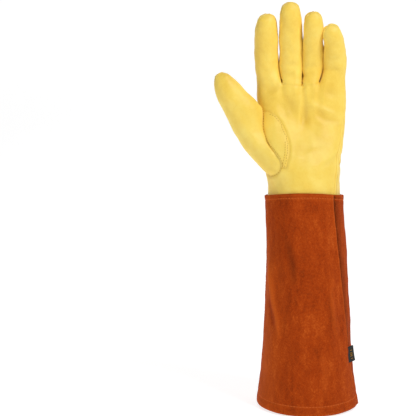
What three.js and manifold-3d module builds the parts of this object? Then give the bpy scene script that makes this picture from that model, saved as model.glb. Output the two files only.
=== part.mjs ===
// Rose pruning gauntlet for the left hand: a grain leather glove sewn into a long cuff of split suede.
// The frame: +Z runs up the arm to the fingertips, the palm faces -Y, the thumb is on -X,
// and the origin is the centre of the cuff's mouth, where the arm goes in.
import * as THREE from "three";
import Module from "manifold-3d";

const wasm = await Module();
wasm.setup();

// Driving sizes, in millimetres, or in degrees where the name says so
const LEATHER = 1.4; // wall of the grain leather
const SUEDE = 1.35; // wall of the split suede, doubled in the cuff's two hems
const SEAM_GAP = 0.3; // clearance between two pieces that are sewn together
const STRIP_DRAW_BACK = 0.38; // how far the strips between the fingers keep from their seams

const CUFF_LENGTH = 219;
const MOUTH_WIDTH = 106;
const MOUTH_DEPTH = 132;
const CUFF_LEAN = -4.8; // how far the wrist's centre lies from the mouth's, towards the thumb
const HEM_HEIGHT = 11; // turned-in suede at the mouth
const TOP_HEM_HEIGHT = 9; // turned-in suede at the wrist
const TUCK = 14; // leather hidden inside the cuff's top

const WRIST_WIDTH = 77;
const WRIST_DEPTH = 80;
const PALM_LENGTH = 115; // cuff's top edge to the forks between the fingers
const PALM_LEAN = -2.4; // how far the knuckles' centre lies from the wrist's, towards the thumb
const FORK_GAP = 0.8; // air between two fingers at their fork
const BACK_FORK_RISE = 14; // how much higher the forks end on the back
const GATHER_DEPTH = 1.1; // half the height of the pleats that the elastic draws in
const GATHER_PINCH = 1.6; // how far the elastic draws the wrist in

const THUMB_LENGTH = 118.5; // root to tip, along its own line
const THUMB_WIDTH = 34;
const THUMB_DEPTH = 29;
const THUMB_SPREAD_DEG = 30.5;
const THUMB_ROOT_RISE = 23.5; // above the cuff's top edge
const THUMB_ROOT_INSET = 7.7; // from the wrist's edge on the thumb side
const THUMB_SWELL = 0.55; // how strongly its ball keeps to the hand's and the thumb's own directions
const THUMB_BALL = 4; // extra swell of its outer side
const THUMB_LIP = 1.7; // its seam allowance, turned in through the hand's wall

const TAB_HEIGHT = 17;
const TAB_WIDTH = 8.5;
const TAB_THICKNESS = 1;
const TAB_RISE = 42; // above the mouth
const TAB_LIFT_DEG = 24; // how far it stands off the suede
const TAB_LEAD_DEG = 5; // how far in front of the seam line it starts

// Fingers from the thumb side outwards. Taper is the share of the width lost towards the tip, and fork is
// the height of the fork on the outer side, above the palm's length.
const FINGERS = [
  { name: "index", width: 23.6, depth: 21.4, length: 69, taper: 0.07, fork: 0.6 },
  { name: "middle", width: 23.4, depth: 21.8, length: 81.5, taper: 0.04, fork: -1.2 },
  { name: "ring", width: 19.8, depth: 19.6, length: 71.5, taper: 0.04, fork: 0.9 },
  { name: "little", width: 24.6, depth: 20.6, length: 58.5, taper: 0.07, fork: 0 },
];

// Which way each finger points, in degrees at its fork and at its tip: away from the thumb, towards the palm
const FINGER_POSES = {
  index: { lean: [-4, 3], curl: [6, 31] },
  middle: { lean: [0.5, -2], curl: [6, 30] },
  ring: { lean: [1, -3], curl: [8, 37] },
  little: { lean: [2, -11], curl: [12, 41] },
};

// A finger's sections: share of its length, then its width and depth as shares of the finger's own
const FINGER_SECTIONS = [
  { along: 0.14, wide: 0.975, deep: 1.0 },
  { along: 0.28, wide: 0.985, deep: 1.0 },
  { along: 0.4, wide: 0.985, deep: 0.95 },
  { along: 0.53, wide: 0.99, deep: 1.0 },
  { along: 0.66, wide: 0.96, deep: 0.94 },
  { along: 0.77, wide: 0.92, deep: 0.93 },
  { along: 0.86, wide: 0.84, deep: 0.85 },
  { along: 0.93, wide: 0.68, deep: 0.68 },
  { along: 0.975, wide: 0.43, deep: 0.42 },
];
const TIP_SET_BACK = 0.1; // share of a finger's depth by which its tip lies towards the back

// The hand's sections from the wrist to the forks. Spread is the share of the way from the wrist's width
// to the knuckles'. Front, back and the centre's shift towards the back are shares of half the wrist's
// depth, gather is the share of the pleats' depth, and valley is how far the line below a fork is drawn in.
const HAND_SECTIONS = [
  { up: 0, spread: 0, front: 1, back: 1, shift: 0, power: 2.1, gather: 0, valley: 0 },
  { up: 0.1, spread: -0.04, front: 0.97, back: 0.97, shift: 0, power: 2.1, gather: 0.2, valley: 0 },
  { up: 0.19, spread: -0.04, front: 0.95, back: 0.94, shift: 0, power: 2.1, gather: 0.65, valley: 0 },
  { up: 0.27, spread: 0, front: 0.92, back: 0.92, shift: 0.01, power: 2.15, gather: 1, valley: 0 },
  { up: 0.35, spread: 0.11, front: 0.84, back: 0.84, shift: 0.04, power: 2.15, gather: 0.6, valley: 0 },
  { up: 0.45, spread: 0.33, front: 0.73, back: 0.71, shift: 0.12, power: 2.2, gather: 0.15, valley: 0 },
  { up: 0.56, spread: 0.62, front: 0.62, back: 0.6, shift: 0.19, power: 2.3, gather: 0, valley: 0 },
  { up: 0.68, spread: 0.82, front: 0.53, back: 0.5, shift: 0.22, power: 2.4, gather: 0, valley: 0.01 },
  { up: 0.81, spread: 0.94, front: 0.48, back: 0.46, shift: 0.22, power: 2.5, gather: 0, valley: 0.05 },
  { up: 0.92, spread: 0.98, front: 0.43, back: 0.41, shift: 0.2, power: 2.55, gather: 0, valley: 0.1 },
  { up: 1, spread: 1, front: 0.37, back: 0.35, shift: 0.17, power: 2.6, gather: 0, valley: 0.2 },
];

// Where the two side seams run: degrees round from the middle of the palm, negative towards the thumb
const SIDE_SEAMS = [
  { up: 0, thumbSide: -113, outerSide: 60 },
  { up: 0.3, thumbSide: -122, outerSide: 66 },
  { up: 0.55, thumbSide: -133, outerSide: 72 },
  { up: 0.75, thumbSide: -136, outerSide: 76 },
  { up: 1, thumbSide: -136, outerSide: 80 },
];

// The thumb-side seam goes on up the index finger: degrees round the finger, from its back to its side
const INDEX_SEAM = [
  { along: 0, turn: 184 },
  { along: 0.14, turn: 200 },
  { along: 0.28, turn: 228 },
  { along: 0.4, turn: 244 },
  { along: 0.66, turn: 262 },
  { along: 1, turn: 272 },
];

// Soft hollows of the palm and, where the depth is negative, swells: places as shares of the half width
// and of the palm's length, sizes in millimetres
const PALM_HOLLOWS = [
  { across: -0.12, up: 0.7, reach: 13, depth: 2.2 },
  { across: 0.22, up: 0.62, reach: 12, depth: 1.8 },
  { across: 0.5, up: 0.3, reach: 16, depth: 1.4 },
  { across: -0.95, up: 0.5, reach: 27, depth: -11 },
];
const FRONT_FADE = 0.35; // cosine of the angle from the palm's middle where hollows get their full depth

// The thumb's full sections: share of its length, shift towards the index finger and half width as shares
// of its width, distance in front of the hand's middle and half depth as shares of its depth
const THUMB_SECTIONS = [
  { along: 0.58, shift: 0.13, wide: 0.52, front: 0.34, deep: 0.5 },
  { along: 0.67, shift: 0.11, wide: 0.47, front: 0.36, deep: 0.49 },
  { along: 0.76, shift: 0.06, wide: 0.41, front: 0.39, deep: 0.46 },
  { along: 0.84, shift: 0.045, wide: 0.36, front: 0.42, deep: 0.41 },
  { along: 0.9, shift: 0.04, wide: 0.3, front: 0.45, deep: 0.34 },
  { along: 0.95, shift: 0.035, wide: 0.23, front: 0.47, deep: 0.25 },
  { along: 0.985, shift: 0.03, wide: 0.13, front: 0.49, deep: 0.14 },
];
const THUMB_BLENDS = [0.1, 0.25, 0.45, 0.7]; // rings between the seam and the first full section
const THUMB_COLUMNS = 24;

// The thumb's seam, round from its palm side over the top: degrees round the hand, share of the palm
const THUMB_SEAM = [
  { turn: -63, up: 0.49 },
  { turn: -67, up: 0.57 },
  { turn: -61, up: 0.67 },
  { turn: -60, up: 0.75 },
  { turn: -70, up: 0.79 },
  { turn: -86, up: 0.76 },
  { turn: -99, up: 0.69 },
  { turn: -104, up: 0.6 },
  { turn: -101, up: 0.48 },
  { turn: -95, up: 0.37 },
  { turn: -85, up: 0.26 },
  { turn: -70, up: 0.185 },
  { turn: -52, up: 0.18 },
  { turn: -39, up: 0.215 },
  { turn: -36, up: 0.3 },
  { turn: -47, up: 0.395 },
];
// The leaf-shaped gusset's free edge as seen on the palm, from the thumb's fork down to its root, then its
// hidden side, which the thumb covers: shares of the hand's half width and of the palm's length
const GUSSET_EDGE = [
  { across: -0.86, up: 0.765 },
  { across: -0.615, up: 0.735 },
  { across: -0.487, up: 0.68 },
  { across: -0.406, up: 0.62 },
  { across: -0.35, up: 0.557 },
  { across: -0.318, up: 0.483 },
  { across: -0.33, up: 0.391 },
  { across: -0.388, up: 0.317 },
  { across: -0.46, up: 0.252 },
  { across: -0.8, up: 0.33 },
  { across: -0.97, up: 0.5 },
  { across: -0.98, up: 0.7 },
];
const PALM_HEADING = new THREE.Vector3(0, -1, 0);
const THUMB_HEADING = new THREE.Vector3(-0.78, -0.62, 0);

// The cuff's sections from the mouth up. Flares are shares of the way from the wrist's size to the mouth's.
const CUFF_SECTIONS = [
  { up: 0, flare: 1, flareDepth: 1, lean: 0, seam: 86 },
  { up: 0.05, flare: 0.88, flareDepth: 0.95, lean: 0.1, seam: 86 },
  { up: 0.13, flare: 0.68, flareDepth: 0.86, lean: 0.2, seam: 84 },
  { up: 0.25, flare: 0.45, flareDepth: 0.74, lean: 0.3, seam: 74 },
  { up: 0.38, flare: 0.27, flareDepth: 0.6, lean: 0.3, seam: 66 },
  { up: 0.52, flare: 0.15, flareDepth: 0.45, lean: 0.35, seam: 62 },
  { up: 0.66, flare: 0.05, flareDepth: 0.31, lean: 0.5, seam: 60 },
  { up: 0.8, flare: 0.0, flareDepth: 0.17, lean: 0.75, seam: 58 },
  { up: 0.92, flare: 0.0, flareDepth: 0.06, lean: 0.95, seam: 56 },
  { up: 1, flare: 0, flareDepth: 0, lean: 1, seam: 55 },
];
const CUFF_POWER = 2.1;
const CUFF_THUMB_SEAM_DEG = -112;

// Soft folds of the cuff: degrees round at their top and bottom end, heights as shares of the cuff's length
const CUFF_FOLDS = [
  { top: -62, bottom: -38, from: 0.1, to: 0.8, half: 13, depth: 1.8 },
  { top: 20, bottom: 42, from: 0.05, to: 0.7, half: 12, depth: 1.3 },
  { top: 150, bottom: 172, from: 0.1, to: 0.85, half: 14, depth: 1.5 },
  { top: -160, bottom: -140, from: 0.05, to: 0.7, half: 13, depth: 1.6 },
];

// Grid counts: quads across a finger's front, side or back, and across one panel of the cuff
const QUADS = 4;
const CUFF_QUADS = 16;

const FINGER_COLUMNS = 4 * QUADS;
const FRONT_COLUMNS = FINGERS.length * QUADS;
const HAND_COLUMNS = 2 * FRONT_COLUMNS + 2 * QUADS;
const BACK_START = FRONT_COLUMNS + QUADS; // first column on the back, on the outer side
const BACK_END = BACK_START + FRONT_COLUMNS;

const radians = THREE.MathUtils.degToRad;
const lerp = THREE.MathUtils.lerp;
const point = (x, y, z) => new THREE.Vector3(x, y, z);

// A value from a table's named column at a place between its rows
function fromTable(rows, key, place, column) {
  if (place <= rows[0][key]) return rows[0][column];
  for (let i = 1; i < rows.length; i++) {
    const [low, high] = [rows[i - 1], rows[i]];
    if (place <= high[key]) {
      return lerp(low[column], high[column], (place - low[key]) / (high[key] - low[key]));
    }
  }
  return rows.at(-1)[column];
}

const signedPower = (value, power) => Math.sign(value) * Math.abs(value) ** power;

// A point of an oval section, turned by an angle from the palm's middle: x across and y towards the back
function ovalPoint(angle, halfWidth, halfFront, halfBack, power) {
  const depth = Math.cos(angle) > 0 ? halfFront : halfBack;
  return {
    x: halfWidth * signedPower(Math.sin(angle), 2 / power),
    y: -depth * signedPower(Math.cos(angle), 2 / power),
  };
}

// Fingers stand side by side, so the knuckles' width and each finger's place follow from the fingers' widths
const KNUCKLE_WIDTH = FINGERS.reduce((sum, f) => sum + f.width, 0) + FORK_GAP * (FINGERS.length - 1);
const KNUCKLE_CENTRE = CUFF_LEAN + PALM_LEAN;
const forkPlaces = [KNUCKLE_CENTRE - KNUCKLE_WIDTH / 2];
for (const [i, f] of FINGERS.entries()) {
  const gaps = i === 0 || i === FINGERS.length - 1 ? 0.5 : 1;
  forkPlaces.push(forkPlaces.at(-1) + f.width + FORK_GAP * gaps);
}
const forkRises = [0, ...FINGERS.map((f) => f.fork)];

// The hand's half width, centre and the rest of its section at a share of the palm's length
function handSection(up) {
  const row = (column) => fromTable(HAND_SECTIONS, "up", up, column);
  const spread = row("spread");
  return {
    centre: CUFF_LEAN + PALM_LEAN * Math.max(spread, 0),
    halfWidth: lerp(WRIST_WIDTH, KNUCKLE_WIDTH, spread) / 2,
    front: (row("front") * WRIST_DEPTH) / 2,
    back: (row("back") * WRIST_DEPTH) / 2,
    shift: (row("shift") * WRIST_DEPTH) / 2,
    power: row("power"),
    gather: row("gather"),
    valley: row("valley"),
  };
}

// Angle round the hand, in degrees, of each column at a height. Front and back columns keep their share of
// the width, and the columns beside a side seam are spaced evenly up to it.
const FLAT_SHARE = 0.86; // share of the width that the front columns span
function columnTurn(column, section, up) {
  const edge = (share) => THREE.MathUtils.radToDeg(Math.asin(signedPower(share, section.power / 2)));
  const shareAt = (c) => {
    const f = Math.min(Math.floor(c / QUADS), FINGERS.length - 1);
    const x = lerp(forkPlaces[f], forkPlaces[f + 1], c / QUADS - f);
    return ((x - KNUCKLE_CENTRE) / (KNUCKLE_WIDTH / 2)) * FLAT_SHARE;
  };
  const frontEdge = edge(FLAT_SHARE);
  const outer = fromTable(SIDE_SEAMS, "up", up, "outerSide");
  const thumb = fromTable(SIDE_SEAMS, "up", up, "thumbSide");
  const half = QUADS / 2;
  if (column <= FRONT_COLUMNS) return edge(shareAt(column));
  if (column < BACK_START) {
    const step = column - FRONT_COLUMNS;
    const backEdge = 180 - frontEdge;
    return step < half ? lerp(frontEdge, outer, step / half) : lerp(outer, backEdge, (step - half) / half);
  }
  const firstFork = BACK_END - QUADS;
  if (column <= firstFork) return 180 - edge(shareAt(FRONT_COLUMNS - (column - BACK_START)));
  if (column <= BACK_END) {
    const forkTurn = 180 - edge(shareAt(QUADS));
    return lerp(forkTurn, thumb + 360, (column - firstFork) / QUADS);
  }
  return lerp(thumb, -frontEdge, (column - BACK_END) / QUADS);
}

// Height of the forks' line above a column
function topOf(column, turn) {
  const onBack = (1 - Math.cos(radians(turn))) / 2;
  const along = column <= FRONT_COLUMNS ? column : Math.max(0, Math.min(FRONT_COLUMNS, BACK_END - column));
  const f = Math.min(Math.floor(along / QUADS), FINGERS.length - 1);
  const rise = lerp(forkRises[f], forkRises[f + 1], along / QUADS - f);
  return PALM_LENGTH + rise + BACK_FORK_RISE * onBack;
}

// A point of the hand's skin at an angle round it and a share of its height
function handPoint(turn, up, height = PALM_LENGTH, drawIn = 0) {
  const s = handSection(up);
  const p = ovalPoint(radians(turn), s.halfWidth, s.front, s.back, s.power);
  let y = p.y * (1 - drawIn);
  const frontness = THREE.MathUtils.smoothstep(Math.cos(radians(turn)), 0, FRONT_FADE);
  for (const h of PALM_HOLLOWS) {
    const away = Math.hypot(p.x - h.across * s.halfWidth, (up - h.up) * PALM_LENGTH) / h.reach;
    y += h.depth * frontness * Math.exp(-away * away);
  }
  return point(s.centre + p.x, s.shift + y, CUFF_LENGTH + up * height);
}

// One skin of quads, each marked with the piece of leather that it belongs to
const skin = { points: [], quads: [], level: true };
const addPoint = (p) => skin.points.push(p) - 1;
const addQuad = (piece, a, b, c, d) => skin.quads.push({ piece, corners: [a, b, c, d] });

const isFork = (column) => column % QUADS === 0 && column > 0 && column < FRONT_COLUMNS;
const isBackFork = (column) => {
  return column > BACK_START && column < BACK_END && (column - BACK_START) % QUADS === 0;
};

const handRings = [];
function addHandRing(up, z) {
  const section = handSection(up);
  const ring = [];
  for (let c = 0; c < HAND_COLUMNS; c++) {
    const turn = columnTurn(c, section, up);
    const valley = isFork(c) || isBackFork(c) ? section.valley : 0;
    const p = handPoint(turn, up, topOf(c, turn), valley);
    if (z !== undefined) p.z = z;
    const onBack = c >= BACK_START - 1 && c <= BACK_END + 1;
    if (onBack && section.gather > 0) {
      const pleat = c % 2 ? GATHER_DEPTH : -GATHER_DEPTH;
      p.y += (pleat - GATHER_PINCH) * section.gather;
    }
    ring.push(addPoint(p));
  }
  handRings.push(ring);
}
addHandRing(0, CUFF_LENGTH - TUCK);
for (const { up } of HAND_SECTIONS) addHandRing(up);

// Which piece a quad of the hand belongs to: palm, back, or a strip's end below its fork on the back
const fourchetteNames = FINGERS.slice(1).map((f, i) => `fourchette_${FINGERS[i].name}_${f.name}`);
function handPiece(row, column) {
  const seamOuter = FRONT_COLUMNS + QUADS / 2;
  const seamThumb = BACK_END;
  if (column < seamOuter || column >= seamThumb) return "palm_panel";
  if (row === handRings.length - 2) {
    for (let f = 1; f < FINGERS.length; f++) {
      const fork = BACK_START + QUADS * (FINGERS.length - f);
      if (column === fork || column === fork - 1) return fourchetteNames[f - 1];
    }
  }
  return "back_panel";
}
for (let r = 0; r + 1 < handRings.length; r++) {
  for (let c = 0; c < HAND_COLUMNS; c++) {
    const next = (c + 1) % HAND_COLUMNS;
    const [low, high] = [handRings[r], handRings[r + 1]];
    addQuad(handPiece(r, c), low[c], low[next], high[next], high[c]);
  }
}

// Webs join the front and the back of each fork
const WEB_SAG = 1.8; // above one, the web stays low in front and rises late
const topRing = handRings.at(-1);
const webs = fourchetteNames.map((_, i) => {
  const front = skin.points[topRing[QUADS * (i + 1)]];
  const back = skin.points[topRing[BACK_START + QUADS * (FINGERS.length - 1 - i)]];
  return [1, 2, 3].map((step) => {
    const share = step / QUADS;
    const p = front.clone().lerp(back, share);
    p.z = lerp(front.z, back.z, share ** WEB_SAG);
    return addPoint(p);
  });
});

// A finger's first ring is borrowed from the hand's top ring and from the webs beside it
function fingerBase(f) {
  const last = FINGERS.length - 1;
  const ring = [];
  for (let j = 0; j < FINGER_COLUMNS; j++) {
    if (j <= QUADS) ring.push(topRing[QUADS * f + j]);
    else if (j < 2 * QUADS) {
      ring.push(f === last ? topRing[FRONT_COLUMNS + j - QUADS] : webs[f][j - QUADS - 1]);
    } else if (j <= 3 * QUADS) ring.push(topRing[BACK_START + QUADS * (last - f) + (j - 2 * QUADS)]);
    else ring.push(f === 0 ? topRing[BACK_END + j - 3 * QUADS] : webs[f - 1][FINGER_COLUMNS - 1 - j]);
  }
  return ring;
}

// Which piece a finger's quad belongs to, by its column
function fingerPiece(f, j) {
  const last = FINGERS.length - 1;
  const half = QUADS / 2;
  const front = f === 0 || f === last ? "palm_panel" : `${FINGERS[f].name}_front`;
  if (j < QUADS + half || j >= (f === 0 ? 3 * QUADS : FINGER_COLUMNS - half)) return front;
  if (f < last && j <= 2 * QUADS) return fourchetteNames[f];
  if (f > 0 && j >= 3 * QUADS - 1) return fourchetteNames[f - 1];
  return "back_panel";
}

// The frame of a section that looks along a direction: across and towards the back
function sectionAxes(direction) {
  const across = new THREE.Vector3().crossVectors(point(0, 1, 0), direction).normalize();
  return { across, back: new THREE.Vector3().crossVectors(direction, across) };
}

// Angle round a finger of each column: a quarter turn for each of its four sides, with the index finger's
// columns drawn along by the seam that climbs round it
function fingerTurn(f, j, along) {
  const even = -45 + (360 * j) / FINGER_COLUMNS;
  if (f > 0 || j <= 2 * QUADS) return even;
  const seam = fromTable(INDEX_SEAM, "along", along, "turn");
  if (j <= 3 * QUADS) return lerp(135, seam, (j - 2 * QUADS) / QUADS);
  return lerp(seam, 315, (j - 3 * QUADS) / QUADS);
}

const WALK_STEPS = 60;
const FINGER_POWER = 2.15;
function fingerLine(f) {
  const finger = FINGERS[f];
  const pose = FINGER_POSES[finger.name];
  const middle = (forkPlaces[f] + forkPlaces[f + 1]) / 2;
  const rise = (forkRises[f] + forkRises[f + 1]) / 2;
  const top = handSection(1);
  const at = point(middle, top.shift, CUFF_LENGTH + PALM_LENGTH + rise + BACK_FORK_RISE / 2);
  const line = [];
  for (let i = 0; i <= WALK_STEPS; i++) {
    const share = i / WALK_STEPS;
    const lean = radians(lerp(...pose.lean, share));
    const curl = radians(lerp(...pose.curl, share));
    const direction = point(Math.sin(lean), -Math.sin(curl), Math.cos(curl) * Math.cos(lean)).normalize();
    line.push({ at: at.clone(), direction });
    at.addScaledVector(direction, finger.length / WALK_STEPS);
  }
  return line;
}

for (const [f, finger] of FINGERS.entries()) {
  const line = fingerLine(f);
  const rings = [fingerBase(f)];
  for (const s of FINGER_SECTIONS) {
    const here = line[Math.round(s.along * WALK_STEPS)];
    const { across, back } = sectionAxes(here.direction);
    const set = TIP_SET_BACK * finger.depth * Math.max(0, s.along - 0.75) * 4;
    const halfWidth = (s.wide * finger.width * (1 - finger.taper * s.along)) / 2;
    const ring = [];
    for (let j = 0; j < FINGER_COLUMNS; j++) {
      const angle = radians(fingerTurn(f, j, s.along));
      const halfDepth = (s.deep * finger.depth) / 2;
      const p = ovalPoint(angle, halfWidth, halfDepth, halfDepth, FINGER_POWER);
      ring.push(addPoint(here.at.clone().addScaledVector(across, p.x).addScaledVector(back, p.y + set)));
    }
    rings.push(ring);
  }
  const end = line.at(-1);
  const tip = end.at.clone().addScaledVector(sectionAxes(end.direction).back, TIP_SET_BACK * finger.depth);
  rings.push(Array(FINGER_COLUMNS).fill(addPoint(tip)));
  for (let r = 0; r + 1 < rings.length; r++) {
    for (let j = 0; j < FINGER_COLUMNS; j++) {
      const next = (j + 1) % FINGER_COLUMNS;
      const [low, high] = [rings[r], rings[r + 1]];
      addQuad(fingerPiece(f, j), low[j], low[next], high[next], high[j]);
    }
  }
}

// Triangles of a quad, leaving out the flat one where two corners are the same point
function triangles([a, b, c, d]) {
  const out = [];
  if (a !== b && b !== c) out.push([a, b, c]);
  if (c !== d && d !== a) out.push([a, c, d]);
  return out;
}

// Outward directions at a skin's points, averaged over the faces that meet there
function pointNormals(mesh) {
  const normals = mesh.points.map(() => point(0, 0, 0));
  for (const { corners } of mesh.quads) {
    for (const [a, b, c] of triangles(corners)) {
      const [pa, pb, pc] = [a, b, c].map((i) => mesh.points[i]);
      const face = new THREE.Vector3().crossVectors(pb.clone().sub(pa), pc.clone().sub(pa));
      for (const i of [a, b, c]) normals[i].add(face);
    }
  }
  return normals.map((n) => n.normalize());
}

// Closes a list of points and triangles into a manifold solid
function solidOf(points, faces) {
  const vertProperties = new Float32Array(points.flatMap((p) => [p.x, p.y, p.z]));
  const mesh = new wasm.Mesh({ numProp: 3, vertProperties, triVerts: new Uint32Array(faces.flat()) });
  mesh.merge();
  return new wasm.Manifold(mesh);
}

// Directed edges of a list of triangles that have no partner in it, each with its triangle's third corner
function openEdges(faces) {
  const edges = new Map();
  for (const face of faces) {
    for (let i = 0; i < 3; i++) {
      const [a, b, c] = [face[i], face[(i + 1) % 3], face[(i + 2) % 3]];
      if (!edges.delete(`${b}_${a}`)) edges.set(`${a}_${b}`, [a, b, c]);
    }
  }
  return [...edges.values()];
}

// One piece of leather or suede: its share of a skin, thickened inwards, with its seamed edges drawn back.
// A skin with a level mouth keeps it level.
function thicken(mesh, piece, wallAt, drawBack = SEAM_GAP / 2) {
  const normals = pointNormals(mesh);
  const everyFace = mesh.quads.flatMap((q) => triangles(q.corners));
  const mouth = new Set(openEdges(everyFace).flatMap(([a, b]) => [a, b]));
  const quads = mesh.quads.filter((q) => q.piece === piece);
  const faces = quads.flatMap((q) => triangles(q.corners));
  const edges = openEdges(faces);
  const drawn = new Map();
  for (const [a, b, c] of edges) {
    if (mouth.has(a) && mouth.has(b)) continue;
    const along = mesh.points[b].clone().sub(mesh.points[a]).normalize();
    const reach = mesh.points[c].clone().sub(mesh.points[a]);
    reach.addScaledVector(along, -reach.dot(along));
    for (const v of [a, b]) {
      const inwards = reach.clone().addScaledVector(normals[v], -reach.dot(normals[v]));
      if (mesh.level && mouth.has(v)) inwards.z = 0;
      drawn.set(v, [...(drawn.get(v) ?? []), inwards.normalize()]);
    }
  }
  const used = [...new Set(faces.flat())];
  const index = new Map(used.map((v, i) => [v, i]));
  const outer = used.map((v) => {
    const p = mesh.points[v].clone();
    const [one, other = one] = drawn.get(v) ?? [];
    if (!one) return p;
    const mitre = Math.max(0.35, 1 + one.dot(other));
    return p.addScaledVector(one.clone().add(other), drawBack / mitre);
  });
  const inner = used.map((v, i) => {
    const normal = normals[v].clone();
    if (mesh.level && mouth.has(v)) normal.setZ(0).normalize();
    return outer[i].clone().addScaledVector(normal, -wallAt(mesh.points[v]));
  });
  const n = used.length;
  const all = faces.flatMap((f) => {
    const [a, b, c] = f.map((v) => index.get(v));
    return [
      [a, b, c],
      [c + n, b + n, a + n],
    ];
  });
  for (const [va, vb] of edges) {
    const [a, b] = [index.get(va), index.get(vb)];
    // Both pieces beside a seam fold their facing walls along the same diagonal
    if (va < vb) all.push([b, a, a + n], [b, a + n, b + n]);
    else all.push([b, a, b + n], [a, a + n, b + n]);
  }
  return solidOf([...outer, ...inner], all);
}

// The thumb: a skin of its own, from its seam on the hand out to its tip
const seamPlaces = new THREE.CatmullRomCurve3(
  THUMB_SEAM.map(({ turn, up }) => point(turn, up * 100, 0)),
  true,
)
  .getPoints(THUMB_COLUMNS)
  .slice(0, THUMB_COLUMNS)
  .map((p) => ({ turn: p.x, up: p.y / 100 }));
function handNormal(turn, up) {
  const round = handPoint(turn + 1, up).sub(handPoint(turn - 1, up));
  const rise = handPoint(turn, up + 0.01).sub(handPoint(turn, up - 0.01));
  return new THREE.Vector3().crossVectors(round, rise).normalize();
}
const thumbSkin = { points: [], quads: [] };
const spread = radians(THUMB_SPREAD_DEG);
const wristHalf = WRIST_WIDTH / 2;
const thumbRoot = point(CUFF_LEAN - wristHalf + THUMB_ROOT_INSET, 0, CUFF_LENGTH + THUMB_ROOT_RISE);
const thumbAxis = point(-Math.sin(spread), 0, Math.cos(spread));
const thumbSide = point(Math.cos(spread), 0, Math.sin(spread));

function thumbCentre(s) {
  const p = thumbRoot.clone().addScaledVector(thumbAxis, s.along * THUMB_LENGTH);
  p.addScaledVector(thumbSide, s.shift * THUMB_WIDTH);
  p.y = -s.front * THUMB_DEPTH;
  return p;
}
const THUMB_POWER = 2.1;
function thumbRing(s) {
  const centre = thumbCentre(s);
  const next = thumbCentre({ ...s, along: s.along + 0.05, front: s.front + 0.02 });
  const direction = next.sub(centre).normalize();
  const { across, back } = sectionAxes(direction);
  return seamPlaces.map((_, j) => {
    const half = s.deep * THUMB_DEPTH;
    const p = ovalPoint(radians((360 * j) / THUMB_COLUMNS), s.wide * THUMB_WIDTH, half, half, THUMB_POWER);
    return centre.clone().addScaledVector(across, p.x).addScaledVector(back, p.y);
  });
}
const seamRing = seamPlaces.map(({ turn, up }) => handPoint(turn, up));
const firstRing = thumbRing(THUMB_SECTIONS[0]);
const leaving = thumbCentre(THUMB_SECTIONS[1]).sub(thumbCentre(THUMB_SECTIONS[0])).normalize();
function blended(j, share) {
  const [from, to] = [seamRing[j], firstRing[j]];
  const reach = to.clone().sub(from);
  const pull = THUMB_SWELL * reach.length();
  const normal = handNormal(seamPlaces[j].turn, seamPlaces[j].up);
  const outer = Math.max(0, -Math.sin((2 * Math.PI * j) / THUMB_COLUMNS));
  const start = reach.clone().addScaledVector(normal, -0.85 * (1 - outer) * reach.dot(normal)).normalize();
  const near = from.clone().addScaledVector(start, pull / 1.5);
  const far = to.clone().addScaledVector(leaving, -pull / 1.5);
  const ball = THUMB_BALL * outer * Math.sin(Math.PI * share);
  return new THREE.CubicBezierCurve3(from, near, far, to).getPoint(share).addScaledVector(thumbSide, -ball);
}
const blendRings = THUMB_BLENDS.map((share) => seamRing.map((_, j) => blended(j, share)));
const lipRing = seamRing.map((p, j) => {
  return p.clone().addScaledVector(handNormal(seamPlaces[j].turn, seamPlaces[j].up), -THUMB_LIP);
});
const thumbRings = [lipRing, seamRing, ...blendRings, ...THUMB_SECTIONS.map(thumbRing)].map((ring) =>
  ring.map((p) => thumbSkin.points.push(p) - 1),
);
const thumbTip = thumbCentre({ along: 1, shift: 0.03, front: 0.49 });
thumbRings.push(Array(THUMB_COLUMNS).fill(thumbSkin.points.push(thumbTip) - 1));
for (let r = 0; r + 1 < thumbRings.length; r++) {
  for (let j = 0; j < THUMB_COLUMNS; j++) {
    const next = (j + 1) % THUMB_COLUMNS;
    const [low, high] = [thumbRings[r], thumbRings[r + 1]];
    thumbSkin.quads.push({ piece: "thumb", corners: [low[j], low[next], high[next], high[j]] });
  }
}

// A straight-sided punch through one wall of the hand. Its outline is a ring of points on the hand, seen
// along a level direction and grown by a small distance.
const PUNCH_START = 4;
const PUNCH_LENGTH = 90;
function punch(ring, heading, grow) {
  const up = point(0, 0, 1);
  const side = new THREE.Vector3().crossVectors(up, heading).normalize();
  const flat = ring.map((p) => new THREE.Vector2(p.dot(side), p.z));
  const turning = THREE.ShapeUtils.area(flat) > 0 ? 1 : -1;
  const grown = flat.map((p, i) => {
    const [before, after] = [flat.at(i - 1), flat[(i + 1) % flat.length]];
    const normals = [p.clone().sub(before), after.clone().sub(p)].map((edge) => {
      edge.normalize();
      return new THREE.Vector2(edge.y, -edge.x).multiplyScalar(turning);
    });
    const share = 1 + Math.max(-0.5, normals[0].dot(normals[1]));
    return p.clone().addScaledVector(normals[0].clone().add(normals[1]), grow / share);
  });
  const sides = { depth: PUNCH_LENGTH, bevelEnabled: false };
  const shape = new THREE.ExtrudeGeometry(new THREE.Shape(grown), sides);
  const placed = new THREE.Matrix4().makeBasis(side, up, heading.clone().normalize());
  placed.setPosition(heading.clone().normalize().multiplyScalar(PUNCH_START));
  shape.applyMatrix4(placed);
  const at = shape.getAttribute("position");
  const points = Array.from({ length: at.count }, (_, i) => new THREE.Vector3().fromBufferAttribute(at, i));
  const order = Array.from({ length: at.count / 3 }, (_, i) => [3 * i, 3 * i + 1, 3 * i + 2]);
  return solidOf(points, order);
}

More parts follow.
